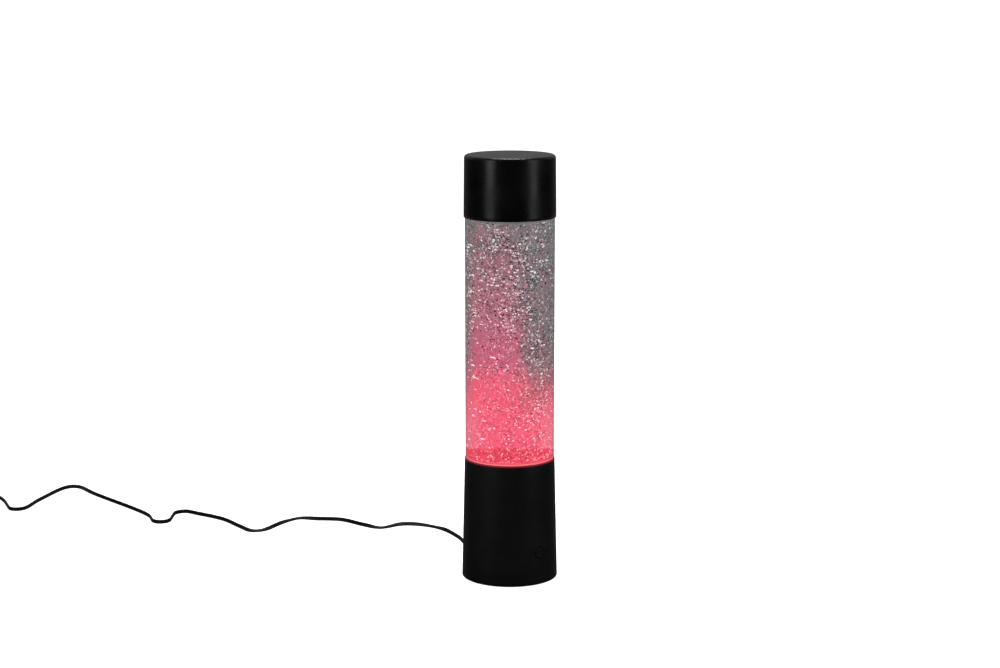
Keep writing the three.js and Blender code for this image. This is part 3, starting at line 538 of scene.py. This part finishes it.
def through(points, per=12):
    """A centripetal Catmull-Rom curve through the points, as the CAD's own curve."""
    points = [np.array(p, float) for p in points]
    out = []
    for i in range(len(points) - 1):
        p1, p2 = points[i], points[i + 1]
        p0 = points[i - 1] if i else 2 * p1 - p2
        p3 = points[i + 2] if i + 2 < len(points) else 2 * p2 - p1
        d0, d1, d2 = (np.linalg.norm(b - a) ** 0.5 for a, b in ((p0, p1), (p1, p2), (p2, p3)))
        m1 = ((p1 - p0) / d0 - (p2 - p0) / (d0 + d1) + (p2 - p1) / d1) * d1
        m2 = ((p2 - p1) / d1 - (p3 - p1) / (d1 + d2) + (p3 - p2) / d2) * d1
        for k in range(per):
            t = k / per
            h = (2 * t**3 - 3 * t**2 + 1, t**3 - 2 * t**2 + t, 3 * t**2 - 2 * t**3, t**3 - t**2)
            out.append(h[0] * p1 + h[1] * m1 + h[2] * p2 + h[3] * m2)
    out.append(points[-1])
    return np.array(out)


def ease(t):
    t = min(max(t, 0.0), 1.0)
    return t * t * (3 - 2 * t)


def evenly(points, step):
    """The same line with points a fixed distance apart."""
    lengths = np.concatenate([[0], np.cumsum(np.linalg.norm(np.diff(points, axis=0), axis=1))])
    count = max(2, int(round(lengths[-1] / step)) + 1)
    at = np.linspace(0, lengths[-1], count)
    return np.stack([np.interp(at, lengths, points[:, i]) for i in range(3)], axis=1), at


def coil_point(degrees):
    """The cord's middle in the coil, and how far it has turned from on edge (1) to flat (0)."""
    wound = min(degrees, COIL_END)
    radius = COIL_RADIUS - COIL_PITCH * wound / 360
    height, edge = COIL_HEIGHT, 1.0
    if degrees > COIL_END:
        climb = ease((degrees - COIL_END) / 34)
        out = ease((degrees - COIL_END - 22) / (TAIL_ANGLE - COIL_END - 22))
        inner = radius
        radius = inner + (TAIL_RADIUS - inner) * out
        drop = ease((degrees - TAIL_ANGLE + 30) / 30)
        height = COIL_HEIGHT + (CROSSING_HEIGHT - COIL_HEIGHT) * climb
        height -= (CROSSING_HEIGHT - PLUG_HEIGHT) * drop
        edge = 1 - climb
    x, y = on_ring(radius, degrees)
    return (COIL_CENTRE[0] + x, COIL_CENTRE[1] + y, height), edge


def cord_line():
    """Points of the cord's middle and its twist at each, from the strain relief's inside to the plug's."""
    free = through([(0, 50.0, CORD_HEIGHT), *ROUTE])
    free, at = evenly(free, CORD_STEP)
    at = at - 7.3
    stops, angles = zip(*TWIST)
    twist = np.empty(len(free))
    for i, s in enumerate(at):
        k = max(j for j in range(len(stops)) if stops[j] <= max(s, stops[0]))
        k = min(k, len(stops) - 2)
        t = ease((s - stops[k]) / (stops[k + 1] - stops[k]))
        twist[i] = angles[k] + (angles[k + 1] - angles[k]) * t
    standing = 1.05 + np.abs(np.sin(np.radians(twist)))
    free[:, 2] = np.maximum(free[:, 2], standing)
    coil, turns = [], []
    for degrees in np.arange(0.5, TAIL_ANGLE, 3.5):
        point, edge = coil_point(degrees)
        coil.append(point)
        turns.append(90 * edge)
    tail = [(-301.6, 565), (PLUG_X, PLUG_BACK), (PLUG_X, PLUG_BACK - 4)]
    tail = through([coil_point(TAIL_ANGLE)[0], *((x, y, PLUG_HEIGHT) for x, y in tail)], 6)
    line = np.concatenate([free, coil, tail])
    twist = np.concatenate([twist, turns, np.zeros(len(tail))])
    return smoothed(line, twist)


def smoothed(line, twist):
    """Even spacing, with the corners where the stretches meet rounded off."""
    lengths = np.concatenate([[0], np.cumsum(np.linalg.norm(np.diff(line, axis=0), axis=1))])
    even, at = evenly(line, CORD_STEP)
    twist = np.interp(at, lengths, twist)
    for _ in range(6):
        even[1:-1] = (even[:-2] + 2 * even[1:-1] + even[2:]) / 4
        twist[1:-1] = (twist[:-2] + 2 * twist[1:-1] + twist[2:]) / 4
    return even, twist


def twin_section():
    """The outline of two round cores side by side, joined by a thinner web."""
    core = CORD_THICKNESS / 2
    out = []
    for sign, start in ((1, -140), (-1, 40)):
        for i in range(11):
            a = math.radians(start + 28 * i)
            out.append((sign * core + core * math.cos(a), core * math.sin(a)))
    return out


def swept(line, twist, section):
    """A closed tube: the section follows the line, and twists about it."""
    ahead = np.gradient(line, axis=0)
    ahead /= np.linalg.norm(ahead, axis=1)[:, None]
    side = np.cross(ahead, (0, 0, 1))
    side /= np.linalg.norm(side, axis=1)[:, None]
    up = np.cross(side, ahead)
    verts, faces, count = [], [], len(section)
    for p, s, u, angle in zip(line, side, up, np.radians(twist)):
        wide = s * math.cos(angle) + u * math.sin(angle)
        thin = u * math.cos(angle) - s * math.sin(angle)
        verts += [tuple(p + wide * a + thin * b) for a, b in section]
    for j in range(len(line) - 1):
        for i in range(count):
            k = (i + 1) % count
            faces.append((j * count + i, j * count + k, (j + 1) * count + k, (j + 1) * count + i))
    faces.append(tuple(reversed(range(count))))
    faces.append(tuple(range(len(verts) - count, len(verts))))
    return verts, outward(verts, faces)


def add_cord():
    line, twist = cord_line()
    verts, faces = swept(line, twist, twin_section())
    obj = piece("cord_lead", verts, faces, [CORD_SKIN], replaces=("cord", "cord_coil", "cord_tail"),
                slot="cord_black", sharp=60)
    return obj, line


def add_strain_relief():
    """A moulded rubber boot: a collar in the wall, then a taper with ring grooves, hollow at the tip."""
    profile = [(0, 36.2), (4.6, 36.2), (4.6, 39.7), (2.95, 39.7), (2.95, 43.3), (4.1, 43.3), (4.4, 43.6),
               (4.4, 44.6), (4.15, 44.9), (3.55, 45.1)]
    start, end = 46.0, 55.6
    for i in range(5):
        at = start + (end - start) * i / 5
        radius = 3.5 - (at - start) / (57 - start) * 0.85
        groove = radius - 0.45
        profile += [(radius, at), (groove, at + 0.25), (groove, at + 0.85), (radius - 0.05, at + 1.1)]
    profile += [(2.62, 55.9), (2.6, 56.7), (2.35, 57.0), (2.05, 57.0), (1.6, 55.5), (0, 55.5)]
    form = along_y(turned(profile, 40), 0, CORD_HEIGHT)
    form = (form[0], outward(*form))
    return piece("cord_boot", *form, [RUBBER], replaces=("strain_relief",), slot="rubber", sharp=40)


def add_tie():
    """A plastic-covered wire tie round the coil, its two ends twisted together inside the coil."""
    inner, outer, low, high = 15.1, 27.3, 0.75, 4.3
    angle = math.radians(60)
    out = Vector((math.cos(angle), math.sin(angle), 0))
    along = Vector((-math.sin(angle), math.cos(angle), 0))
    centre = Vector((*COIL_CENTRE, 0))
    loop = []
    for cx, cz, start in ((outer - 0.8, low + 0.8, -90), (outer - 0.8, high - 0.8, 0),
                          (inner + 0.8, high - 0.8, 90), (inner + 0.8, low + 0.8, 180)):
        loop += [(cx, cz, math.radians(start + 22.5 * i)) for i in range(5)]
    section = [(-1.6, 0.05), (-1.2, 0.22), (-0.35, 0.24), (0, 0.5), (0.35, 0.24), (1.2, 0.22), (1.6, 0.05),
               (1.5, -0.2), (-1.5, -0.2)]
    verts, faces, count = [], [], len(section)
    for cx, cz, a in loop:
        for wide, thick in section:
            reach = 0.85 + thick
            r, z = cx + reach * math.cos(a), cz + reach * math.sin(a)
            verts.append(tuple(centre + out * r + along * wide + Vector((0, 0, z))))
    for j in range(len(loop)):
        for i in range(count):
            k, n = (i + 1) % count, (j + 1) % len(loop)
            faces.append((j * count + i, j * count + k, n * count + k, n * count + i))
    forms = [(verts, outward(verts, faces))]
    steps, turns, width = 40, 2.4, 0.42  # of the two ends where they twist together
    for phase in (0, math.pi):
        line, twist = [], []
        for i in range(steps + 1):
            t = i / steps
            turn = phase + t * turns * 2 * math.pi
            swing = width * ease(t * 6)
            r = inner - 0.4 - 7.5 * t
            shift = along * (swing * math.cos(turn)) + Vector((0, 0, swing * math.sin(turn)))
            line.append(tuple(centre + out * r + shift + Vector((0, 0, 2.6 - 1.1 * t))))
            twist.append(math.degrees(turn))
        flat = [(-0.65, 0), (-0.45, 0.28), (0.45, 0.28), (0.65, 0), (0.45, -0.28), (-0.45, -0.28)]
        forms.append(swept(np.array(line), np.array(twist), flat))
    return piece("coil_tie_wire", *joined(*forms), [BLACK_PLUG], replaces=("coil_tie",), slot="plug_black",
                 sharp=50)


# The plug's grip: (distance from its cord end, half its width, half its height).
GRIP = [
    (0.0, 2.2, 2.2), (0.4, 2.55, 2.5), (1.1, 2.6, 2.55), (1.3, 2.25, 2.2), (1.9, 2.25, 2.2), (2.1, 2.7, 2.6),
    (2.8, 2.75, 2.65), (3.0, 2.4, 2.3), (3.6, 2.4, 2.3), (3.8, 2.9, 2.7), (4.5, 2.95, 2.75), (4.7, 2.6, 2.45),
    (5.3, 2.6, 2.45), (5.5, 3.1, 2.85), (6.6, 3.4, 3.0), (7.6, 4.3, 3.3), (8.6, 5.7, 3.6), (9.8, 6.9, 3.8),
    (11.5, 7.6, 3.88), (14, 7.85, 3.9), (18, 7.85, 3.9), (22, 7.8, 3.9), (26, 7.8, 3.9), (29, 7.8, 3.9),
    (31.2, 7.75, 3.85), (31.75, 7.55, 3.65), (32.0, 7.2, 3.3),
]
THUMB_AT = 19.0  # the middle of the thumb hollow, from the cord end
THUMB_DEPTH = 0.45


def add_plug():
    """The plug's moulded grip: a ribbed neck, then a body with rounded edges and a shallow thumb hollow."""
    rings, verts, faces, count = [], [], [], 56
    for at, wide, tall in GRIP:
        square = min(max((at - 6.5) / 5, 0), 1)
        power = 2 + 3.2 * square
        ring = []
        for i in range(count):
            a = 2 * math.pi * i / count
            c, s = math.cos(a), math.sin(a)
            x = wide * math.copysign(abs(c) ** (2 / power), c)
            z = tall * math.copysign(abs(s) ** (2 / power), s)
            hollow = THUMB_DEPTH * ease(1 - abs(at - THUMB_AT) / 6.5) * ease(1.4 - abs(x) / 4.2)
            z -= math.copysign(hollow, z) if abs(z) > tall * 0.8 else 0
            ring.append((PLUG_X + x, PLUG_BACK - at, PLUG_HEIGHT + z))
        rings.append(ring)
    for j, ring in enumerate(rings):
        verts += ring
        if j:
            for i in range(count):
                k = (i + 1) % count
                faces.append(((j - 1) * count + i, (j - 1) * count + k, j * count + k, j * count + i))
    faces.append(tuple(reversed(range(count))))
    faces.append(tuple(range(len(verts) - count, len(verts))))
    return piece("plug_grip", verts, outward(verts, faces), [BLACK_PLUG], replaces=("plug_body",),
                 slot="plug_black", sharp=50)


cord_piece, cord_path = add_cord()
boot, tie, grip = add_strain_relief(), add_tie(), add_plug()


# -------- base shell
STEP = 24.9 / 18  # height between the wall's rows near the holes
ROWS = [4.1 + STEP * i for i in range(29)] + [47, 54, 61, 68, 75, 82, 89, 96, 100]

# Radius and distance from the lamp's middle, on the way in through the button's recess.
BUTTON_WELL = [(5.8, 41.65), (5.7, 41.5), (5.2, 41.5), (5.05, 41.35), (5.05, 36.0), (7.25, 36.0)]

# Radius and height of a pillar for a cover screw, and of a post for a board screw before it is laid down.
PILLAR = [(1.6, 4.3), (4.7, 4.3), (5, 4.6), (5, 23.4), (4.4, 24), (0, 24), (0, 16), (1.6, 16)]
BOARD_POST = [(1.3, -29.3), (2.8, -29.3), (2.8, -39.7), (0, -39.7), (0, -34), (1.3, -34)]


def base_radius(z):
    taper = BASE_RIM_RADIUS - BASE_FOOT_RADIUS
    return BASE_FOOT_RADIUS + taper * (z - BASE_BOTTOM) / (BASE_TOP - BASE_BOTTOM)


def wall_point(direction, across, height, radius, depth=None):
    """A point of a wall that faces along direction (-1 for -Y, 1 for +Y)."""
    y = math.sqrt(radius**2 - across**2) if depth is None else depth
    return (-direction * across, direction * y, height)


def base_shell():
    edge, foot_edge = 1.0, 0.6
    inner = lambda z: base_radius(z) - BASE_WALL
    profile = [(inner(BASE_BOTTOM), BASE_BOTTOM)]
    profile += arc(BASE_FOOT_RADIUS - foot_edge, BASE_BOTTOM + foot_edge, foot_edge, -90, 0, 5)
    out_start = len(profile)
    profile += [(base_radius(z), z) for z in ROWS]
    profile += arc(BASE_RIM_RADIUS - edge, BASE_TOP - edge, edge, 0, 90, 6)
    profile += [(38.1, 110), (37.9, 109.8), (37.9, 104), (33, 104), (33, 101), (inner(101), 101)]
    in_start = len(profile)
    profile += [(inner(z), z) for z in reversed(ROWS)]
    verts, faces = turned(profile, SIDES)
    grid = lambda row, column: row * SIDES + column % SIDES
    out_row = lambda j: out_start + j
    in_row = lambda j: in_start + len(ROWS) - 1 - j
    dropped = set()
    added = []
    holes = [
        # column of the middle, its row, half the block's size, direction, height, kind of hole
        (144, 18, 7, -1, BUTTON_HEIGHT, "button"),
        (48, 5, 5, 1, CORD_HEIGHT, "cord"),
    ]
    for column, row, half, direction, height, kind in holes:
        for a in range(row - half, row + half):
            for c in range(column - half, column + half):
                for rows in ((out_row(a), out_row(a + 1)), (in_row(a + 1), in_row(a))):
                    dropped.add(frozenset(grid(r, k) for r in rows for k in (c, c + 1)))
        cells = [(c, row - half) for c in range(column - half, column + half)]
        cells += [(column + half, r) for r in range(row - half, row + half)]
        cells += [(c, row + half) for c in range(column + half, column - half, -1)]
        cells += [(column - half, r) for r in range(row + half, row - half, -1)]
        outer_loop = [grid(out_row(r), c) for c, r in cells]
        inner_loop = [grid(in_row(r), c) for c, r in cells]
        flat = [(-direction * verts[i][0], verts[i][2]) for i in outer_loop]
        loops = [outer_loop]

        def ring(points):
            start = len(verts)
            verts.extend(points)
            loops.append(list(range(start, start + len(points))))

        def between(t, radius, surface, source):
            points = []
            for (across, z), (x0, z0) in zip(flat, source):
                angle = math.atan2(z - height, across)
                x1, z1 = radius * math.cos(angle), height + radius * math.sin(angle)
                x, up = x0 + (x1 - x0) * t, z0 + (z1 - z0) * t
                points.append(wall_point(direction, x, up, surface(up)))
            return points

        def bore(radius, depth):
            return [wall_point(direction, radius * math.cos(a), height + radius * math.sin(a), 0, depth)
                    for a in (math.atan2(z - height, across) for across, z in flat)]

        def sunk(radius, depth):
            points = []
            for a in (math.atan2(z - height, across) for across, z in flat):
                x, up = radius * math.cos(a), height + radius * math.sin(a)
                surface = math.sqrt(base_radius(up) ** 2 - x**2)
                points.append(wall_point(direction, x, up, 0, surface - depth))
            return points

        mouth, guide = (5.8, 7.25) if kind == "button" else (3.3, 3.3)
        for t in (0.3, 0.58, 0.8, 0.93, 1.0):
            ring(between(t, mouth + 0.3, base_radius, flat))
        for grow, depth in ((0.16, 0.03), (0.05, 0.11), (0.0, 0.26)):
            ring(sunk(mouth + grow, depth))
        if kind == "button":
            for radius, depth in BUTTON_WELL:
                ring(bore(radius, depth))
        source = [(-direction * verts[i][0], verts[i][2]) for i in inner_loop]
        for t in (1.0, 0.5):
            ring(between(t, guide, inner, source))
        loops.append(inner_loop)
        for low, high in zip(loops, loops[1:]):
            for i in range(len(low)):
                k = (i + 1) % len(low)
                added.append((low[i], low[k], high[k], high[i]))
    faces = [f for f in faces if frozenset(f) not in dropped] + added
    pillars = []
    for angle in (45, 135, 225, 315):
        x, y = on_ring(36, angle)
        pillars.append(moved(turned(PILLAR, 32), x, y))
    for x in (-11, 11):
        form = along_y(turned(BOARD_POST, 28), x, BUTTON_HEIGHT)
        pillars.append((form[0], outward(*form)))
    return joined((verts, faces), *pillars)


piece("base_housing", *base_shell(), [BLACK_BASE], replaces=("base_shell",), slot="base_black", sharp=40)


# -------- button and feet
def button_cap():
    """A round cap with a slightly hollow face and a softened edge."""
    face = base_radius(BUTTON_HEIGHT) - 0.1
    profile = [(0, -face + 0.32)]
    profile += [(r, -face + 0.32 * (1 - (r / 3.4) ** 2)) for r in (0.9, 1.8, 2.6, 3.1)]
    profile += [(3.4, -face), (3.8, -face), (4.2, -face + 0.08), (4.5, -face + 0.26), (4.65, -face + 0.5),
                (4.7, -face + 0.9), (4.7, -35.7), (6.3, -35.7), (6.3, -34.7), (0, -34.7)]
    form = along_y(turned(profile, 72), 0, BUTTON_HEIGHT)
    return form[0], outward(*form)


piece("button_cap", *button_cap(), [BLACK_BASE], body="button", replaces=("push_button",), slot="base_black")

for i in range(4):
    x, y = on_ring(31, 90 * i)
    profile = [(0, 0.25), (2.6, 0.25), (2.9, 0.0), (3.8, 0.0), (4.3, 0.25), (4.5, 0.8), (4.5, 2.6), (0, 2.6)]
    piece(f"rubber_foot_{i + 1}", *moved(turned(profile, 40), x, y), [RUBBER], replaces=(f"foot_{i + 1}",),
          slot="rubber")


# -------- cap
def cap_form():
    edge = 3.0
    mouth, crown, wall = 41.15, 40.6, 2.4
    radius = lambda z: mouth + (crown - mouth) * (z - CAP_BOTTOM) / (TOTAL_HEIGHT - edge - CAP_BOTTOM)
    inside = mouth - wall
    profile = [(inside, CAP_BOTTOM + 0.3), (inside + 0.3, CAP_BOTTOM), (mouth - 0.5, CAP_BOTTOM)]
    profile += [(mouth - 0.15, CAP_BOTTOM + 0.15), (mouth, CAP_BOTTOM + 0.5), (mouth, CAP_BOTTOM + 1.5)]
    groove = mouth - 0.3
    profile += [(groove, CAP_BOTTOM + 1.8), (groove, CAP_BOTTOM + 2.3), (mouth - 0.02, CAP_BOTTOM + 2.6)]
    profile += [(radius(z), z) for z in (CAP_BOTTOM + 3.4, 334, 345, 356, 368, TOTAL_HEIGHT - edge)]
    profile += arc(crown - edge, TOTAL_HEIGHT - edge, edge, 8, 90, 10)
    profile += [(r, TOTAL_HEIGHT) for r in (30, 20, 10, 0)]
    profile += [(0, 380.6), (20, 380.6), (inside - 2, 380.6), (inside - 1.1, 380.1), (inside - 0.6, 378.6)]
    return turned(profile, 256)


piece("cap_shell", *cap_form(), [BLACK_CAP], body="cap", replaces=("top_cap",), slot="cap_black")


# -------- tank
def tube_form():
    edge = 0.35
    profile = [(TUBE_INSIDE, TANK_BOTTOM)]
    profile += arc(TANK_RADIUS - edge, TANK_BOTTOM + edge, edge, -90, 0, 3)
    profile += [(TANK_RADIUS, z) for z in (140, 180, 220, 260, 300)]
    profile += arc(TANK_RADIUS - edge, TANK_TOP - edge, edge, 0, 90, 3)
    profile += [(TUBE_INSIDE, TANK_TOP)]
    verts, faces = turned(profile, SIDES)
    inner = [1 if all(abs(math.hypot(*verts[i][:2]) - TUBE_INSIDE) < 0.01 for i in f) else 0 for f in faces]
    return verts, faces, inner


verts, faces, inner = tube_form()
piece("tank_tube_clear", verts, faces, [CLEAR, CLEAR_INSIDE], replaces=("tank_tube",), slot="clear_tank",
      face_slots=inner)

FLOOR_PROFILE = [
    (0, 102.5), (16, 102.5), (16, 109.5), (34, 109.5), (34, 104.3), (37.6, 104.3), (37.6, 109.8), (37.5, 110),
    (37.2, 110), (37.2, 112.3), (37.0, 112.5), (30, 112.5), (22, 112.5), (14.3, 112.5), (14, 112.2),
    (14, 104.5), (1.3, 104.5), (1.3, 103.1), (0, 103.1),
]
TOP_PROFILE = [
    (11, 325.4), (37.2, 325.4), (37.2, 327.7), (37.9, 327.7), (37.9, 333.8), (37.6, 334.4), (37.1, 334.7),
    (14.6, 334.7), (14, 335.3), (14, 345.7), (13.7, 346), (11.3, 346), (11, 345.7),
]
piece("tank_floor_glowing", *turned(FLOOR_PROFILE, TANK_SIDES), [tank_floor_material()],
      replaces=("tank_floor",), slot="clear_tank")
piece("tank_top_clear", *turned(TOP_PROFILE, TANK_SIDES), [frosted_material()], replaces=("tank_top",),
      slot="clear_tank")


def filler_cap():
    """The filler plug, with a ring of grip ribs round its skirt."""
    profile = [(0, 348.6), (14.4, 348.6), (14.4, 338.4), (14.6, 338), (16.4, 338), (16.6, 338.4),
               (16.6, 349.6), (16.2, 350.4), (15.6, 351), (12, 351), (11.6, 350.7), (0, 350.7)]
    forms = [turned(profile, 96)]
    ribs = 36
    for i in range(ribs):
        a = 2 * math.pi * i / ribs
        c, s = math.cos(a), math.sin(a)
        verts = []
        for z in (338.6, 349.4):
            for r, w in ((16.5, -0.42), (16.95, -0.2), (16.95, 0.2), (16.5, 0.42)):
                verts.append((r * c - w * s, r * s + w * c, z))
        faces = [(0, 1, 2, 3), (4, 5, 6, 7), (0, 1, 5, 4), (1, 2, 6, 5), (2, 3, 7, 6), (3, 0, 4, 7)]
        faces = [tuple(reversed(faces[0]))] + faces[1:]
        forms.append((verts, outward(verts, faces)))
    return joined(*forms)


piece("filler_cap_ribbed", *filler_cap(), [WHITE], replaces=("filler_plug",), slot="white_plastic")


def liquid_form():
    edge, row = 0.3, 10.6
    profile = [(0, LIQUID_BOTTOM), (20, LIQUID_BOTTOM), (LIQUID_RADIUS - edge, LIQUID_BOTTOM)]
    profile += [(LIQUID_RADIUS, LIQUID_BOTTOM + edge + row * i) for i in range(20)]
    profile += [(LIQUID_RADIUS, LIQUID_TOP - edge), (LIQUID_RADIUS - edge, LIQUID_TOP)]
    profile += [(20, LIQUID_TOP), (0, LIQUID_TOP)]
    return turned(profile, TANK_SIDES)


piece("liquid_lit", *liquid_form(), [liquid_material()], replaces=("glitter_liquid",), slot="glitter_liquid")

# -------- glitter
FLAKE_COUNT = 8200
SETTLED_COUNT = 300  # of the flakes that lie at the bottom
CROWD_COUNT = 70
CROWD_SHARE = 0.55  # of the flakes that float in a crowd
CROWD_SPREAD = (14, 9)  # degrees round the lamp, and mm of height
FLAKE_LOWEST, FLAKE_HIGHEST = 113.6, 325.2
FLAKE_GAP = (37.15, 37.25)  # nearest and farthest from the middle
FLAKE_THICKNESS = 0.05
FLAKE_TILT = 0.12


def flake(centre, normal, spin, radius, thickness, stretch):
    """A thin closed six-sided flake."""
    normal = normal / np.linalg.norm(normal)
    first = np.cross(normal, (0.0, 0.0, 1.0) if abs(normal[2]) < 0.9 else (1.0, 0.0, 0.0))
    first /= np.linalg.norm(first)
    second = np.cross(normal, first)
    verts = []
    for i in range(6):
        a = spin + math.pi / 3 * i
        verts.append(centre + first * (radius * stretch * math.cos(a)) + second * (radius * math.sin(a)))
    verts += [centre + normal * thickness, centre - normal * thickness]
    faces = []
    for i in range(6):
        k = (i + 1) % 6
        faces += [(i, k, 6), (k, i, 7)]
    return verts, faces


def add_glitter():
    """Flakes in the gap between the liquid and the tube: most in crowds, and some settled at the bottom."""
    rng = np.random.default_rng(41)
    right = np.array([*RIGHT, 0.0])
    crowds = rng.uniform((0, 125), (360, 318), (CROWD_COUNT, 2))
    verts, faces, shades = [], [], []

    def place(form, shade):
        start = len(verts)
        verts.extend(form[0])
        faces.extend(tuple(start + v for v in f) for f in form[1])
        shades.extend([shade] * len(form[0]))

    for i in range(FLAKE_COUNT):
        if rng.random() < CROWD_SHARE:
            turn, z = crowds[rng.integers(len(crowds))] + rng.normal(0, 1, 2) * CROWD_SPREAD
        else:
            turn, z = rng.uniform(0, 360), rng.uniform(113.5, 325)
        z = min(max(z, FLAKE_LOWEST), FLAKE_HIGHEST)
        a = math.radians(turn)
        out = np.array([math.cos(a), math.sin(a), 0.0])
        across = float(out @ right)
        calm = ease((0.3 - across) / 0.6) * ease((225 - z) / 70)
        edge = ease((-0.55 - across) / 0.3)
        pick = rng.random()
        bright = 0.24 + 0.03 * ease((z - 200) / 60) - 0.14 * calm - 0.06 * edge
        bright -= 0.1 * ease((across - 0.7) / 0.2)
        dark = bright + 0.27 - 0.18 * calm - 0.08 * edge - 0.13 * (1 - calm) * ease((215 - z) / 70)
        # A flake's shade holds its share of the liquid's painted glow and of a painted white glint: bright
        # flakes glint, dark ones take little of the glow.
        if pick < bright:
            shade, radius = (0.7, rng.uniform(0.25, 1.0)), rng.uniform(0.38, 0.8)
        elif pick < dark:
            depth = ease((220 - z) / 60)
            shade, radius = (rng.uniform(0.02, 0.35) + 0.46 * depth, 0.0), rng.uniform(0.42, 0.85)
        else:
            shade, radius = (rng.uniform(0.6, 1.4), rng.uniform(0, 0.08)), rng.uniform(0.35, 0.7)
        streak = rng.uniform(0.9, 1.8)
        if pick < bright and rng.random() < 0.04 + 0.5 * edge:
            streak = rng.uniform(2.2, 4.6)
        tilt = rng.normal(0, FLAKE_TILT, 3) / streak
        centre = out * rng.uniform(*FLAKE_GAP) + np.array([0, 0, z])
        place(flake(centre, out + tilt, rng.uniform(0, 1), radius, FLAKE_THICKNESS, streak), shade)
    for i in range(SETTLED_COUNT):
        a = rng.uniform(0, 2 * math.pi)
        out = np.array([math.cos(a), math.sin(a), 0.0])
        centre = out * rng.uniform(*FLAKE_GAP) + np.array([0, 0, 113.2 + 10 * rng.random() ** 1.6])
        form = flake(centre, out + rng.normal(0, FLAKE_TILT, 3), rng.uniform(0, 1), rng.uniform(0.45, 1.0),
                     FLAKE_THICKNESS, rng.uniform(0.9, 1.6))
        # Settled flakes too: a share of the painted glow, and for some a painted white glint.
        place(form, (1.0, rng.uniform(0.1, 0.5)) if rng.random() < 0.45 else (rng.uniform(0.6, 1.1), 0.0))
    obj = piece("glitter_flakes", verts, faces, [flake_material()], slot="glitter_liquid", sharp=20)
    kept = obj.data.attributes.new("flake", "FLOAT_COLOR", "POINT")
    kept.data.foreach_set("color", [c for m, b in shades for c in (m, b, 0.0, 1.0)])


add_glitter()

# -------- looks of the CAD pieces that stay
LOOKS = {
    "base_black": BLACK_BASE,
    "inner_black": BLACK_INNER,
    "white_plastic": WHITE,
    "led_white": LED,
    "steel": STEEL,
    "screw_steel": SCREW_STEEL,
    "magnet_plate": MAGNET,
    "circuit_board": CIRCUIT,
    "rubber": RUBBER,
    "cord_black": CORD_SKIN,
    "lead_red": LEAD_RED,
    "plug_black": BLACK_PLUG,
}
for part in frame["record"]["subparts"]:
    node = NODES[part["node"]]
    if not node.hide_render:
        node.data.materials.clear()
        node.data.materials.append(LOOKS[part["material_slot"]])


# -------- floor and light
def add_floor():
    half = 6.0
    mesh = bpy.data.meshes.new("floor")
    corners = [(-half, -half, 0), (half, -half, 0), (half, half, 0), (-half, half, 0)]
    mesh.from_pydata(corners, [], [(0, 1, 2, 3)])
    g = Graph("floor_look")
    g.set(Base_Color=g.mix(g.noise(3, 3), (0.90, 0.90, 0.90), (0.92, 0.92, 0.92)), Roughness=0.9)
    g.set(Specular_IOR_Level=0.0, Normal=g.bump(g.noise(300, 3), 0.00005))
    seen = g.add("ShaderNodeLightPath").outputs["Is Camera Ray"]
    g.set(Emission_Color=(1.0, 1.0, 1.0, 1.0), Emission_Strength=g.fit(seen, 0, 1, 0.12, 0.75, smooth=False))
    mesh.materials.append(g.material)
    floor = bpy.data.objects.new("floor", mesh)
    SCENE.collection.objects.link(floor)
    floor.visible_glossy = False
    floor.visible_transmission = False


def add_softbox(name, angle, distance, height, size, power, reflected=True):
    """A soft rectangular light that faces the lamp, at an angle from the camera's side of it."""
    data = bpy.data.lights.new(name, "AREA")
    data.shape = "RECTANGLE"
    data.size, data.size_y = size
    data.energy = power
    light = bpy.data.objects.new(name, data)
    a = math.radians(angle)
    towards = [-AHEAD[i] * math.cos(a) + RIGHT[i] * math.sin(a) for i in (0, 1)]
    light.location = (towards[0] * distance, towards[1] * distance, height)
    aim = Vector((0, 0, min(height, 0.2))) - light.location
    light.rotation_euler = aim.to_track_quat("-Z", "Y").to_euler()
    light.visible_glossy = reflected
    SCENE.collection.objects.link(light)


def add_world():
    """White all round for the backdrop and diffuse light, and dim for what shines in black plastic."""
    g = Graph("studio", "worlds", "Background", "Generated")
    behind = g.dot(g.point, (*AHEAD, 0))
    sky = g.fit(g.axes()["Z"], 0.0, 0.16, 0.015, 0.28)
    high = g.math("MULTIPLY", sky, g.fit(behind, -0.1, 0.7, 0.22, 1.0))
    mirrored = g.math("MAXIMUM", high, g.fit(behind, 0.3, 0.95, 0.0, 0.09))
    ray = g.add("ShaderNodeLightPath").outputs
    light = g.mix(ray["Is Glossy Ray"], (0.5, 0.5, 0.5), mirrored)
    light = g.mix(ray["Is Transmission Ray"], light, (0.16, 0.12, 0.13))
    g.set(Color=g.mix(ray["Is Camera Ray"], light, (1.1, 1.1, 1.1)))
    SCENE.world = g.material


add_floor()
add_world()
add_softbox("overhead", 180, 0.4, 2.2, (1.3, 1.3), 12, reflected=False)
add_softbox("edge_light", 180, 0.4, 1.9, (0.9, 0.3), 20)
add_softbox("strip_left", -50, 1.5, 0.62, (0.5, 1.0), 3.4)
add_softbox("strip_right", 60, 1.5, 0.62, (0.5, 1.0), 3.1)
SCENE.view_settings.view_transform = "Standard"
SCENE.view_settings.look = "None"
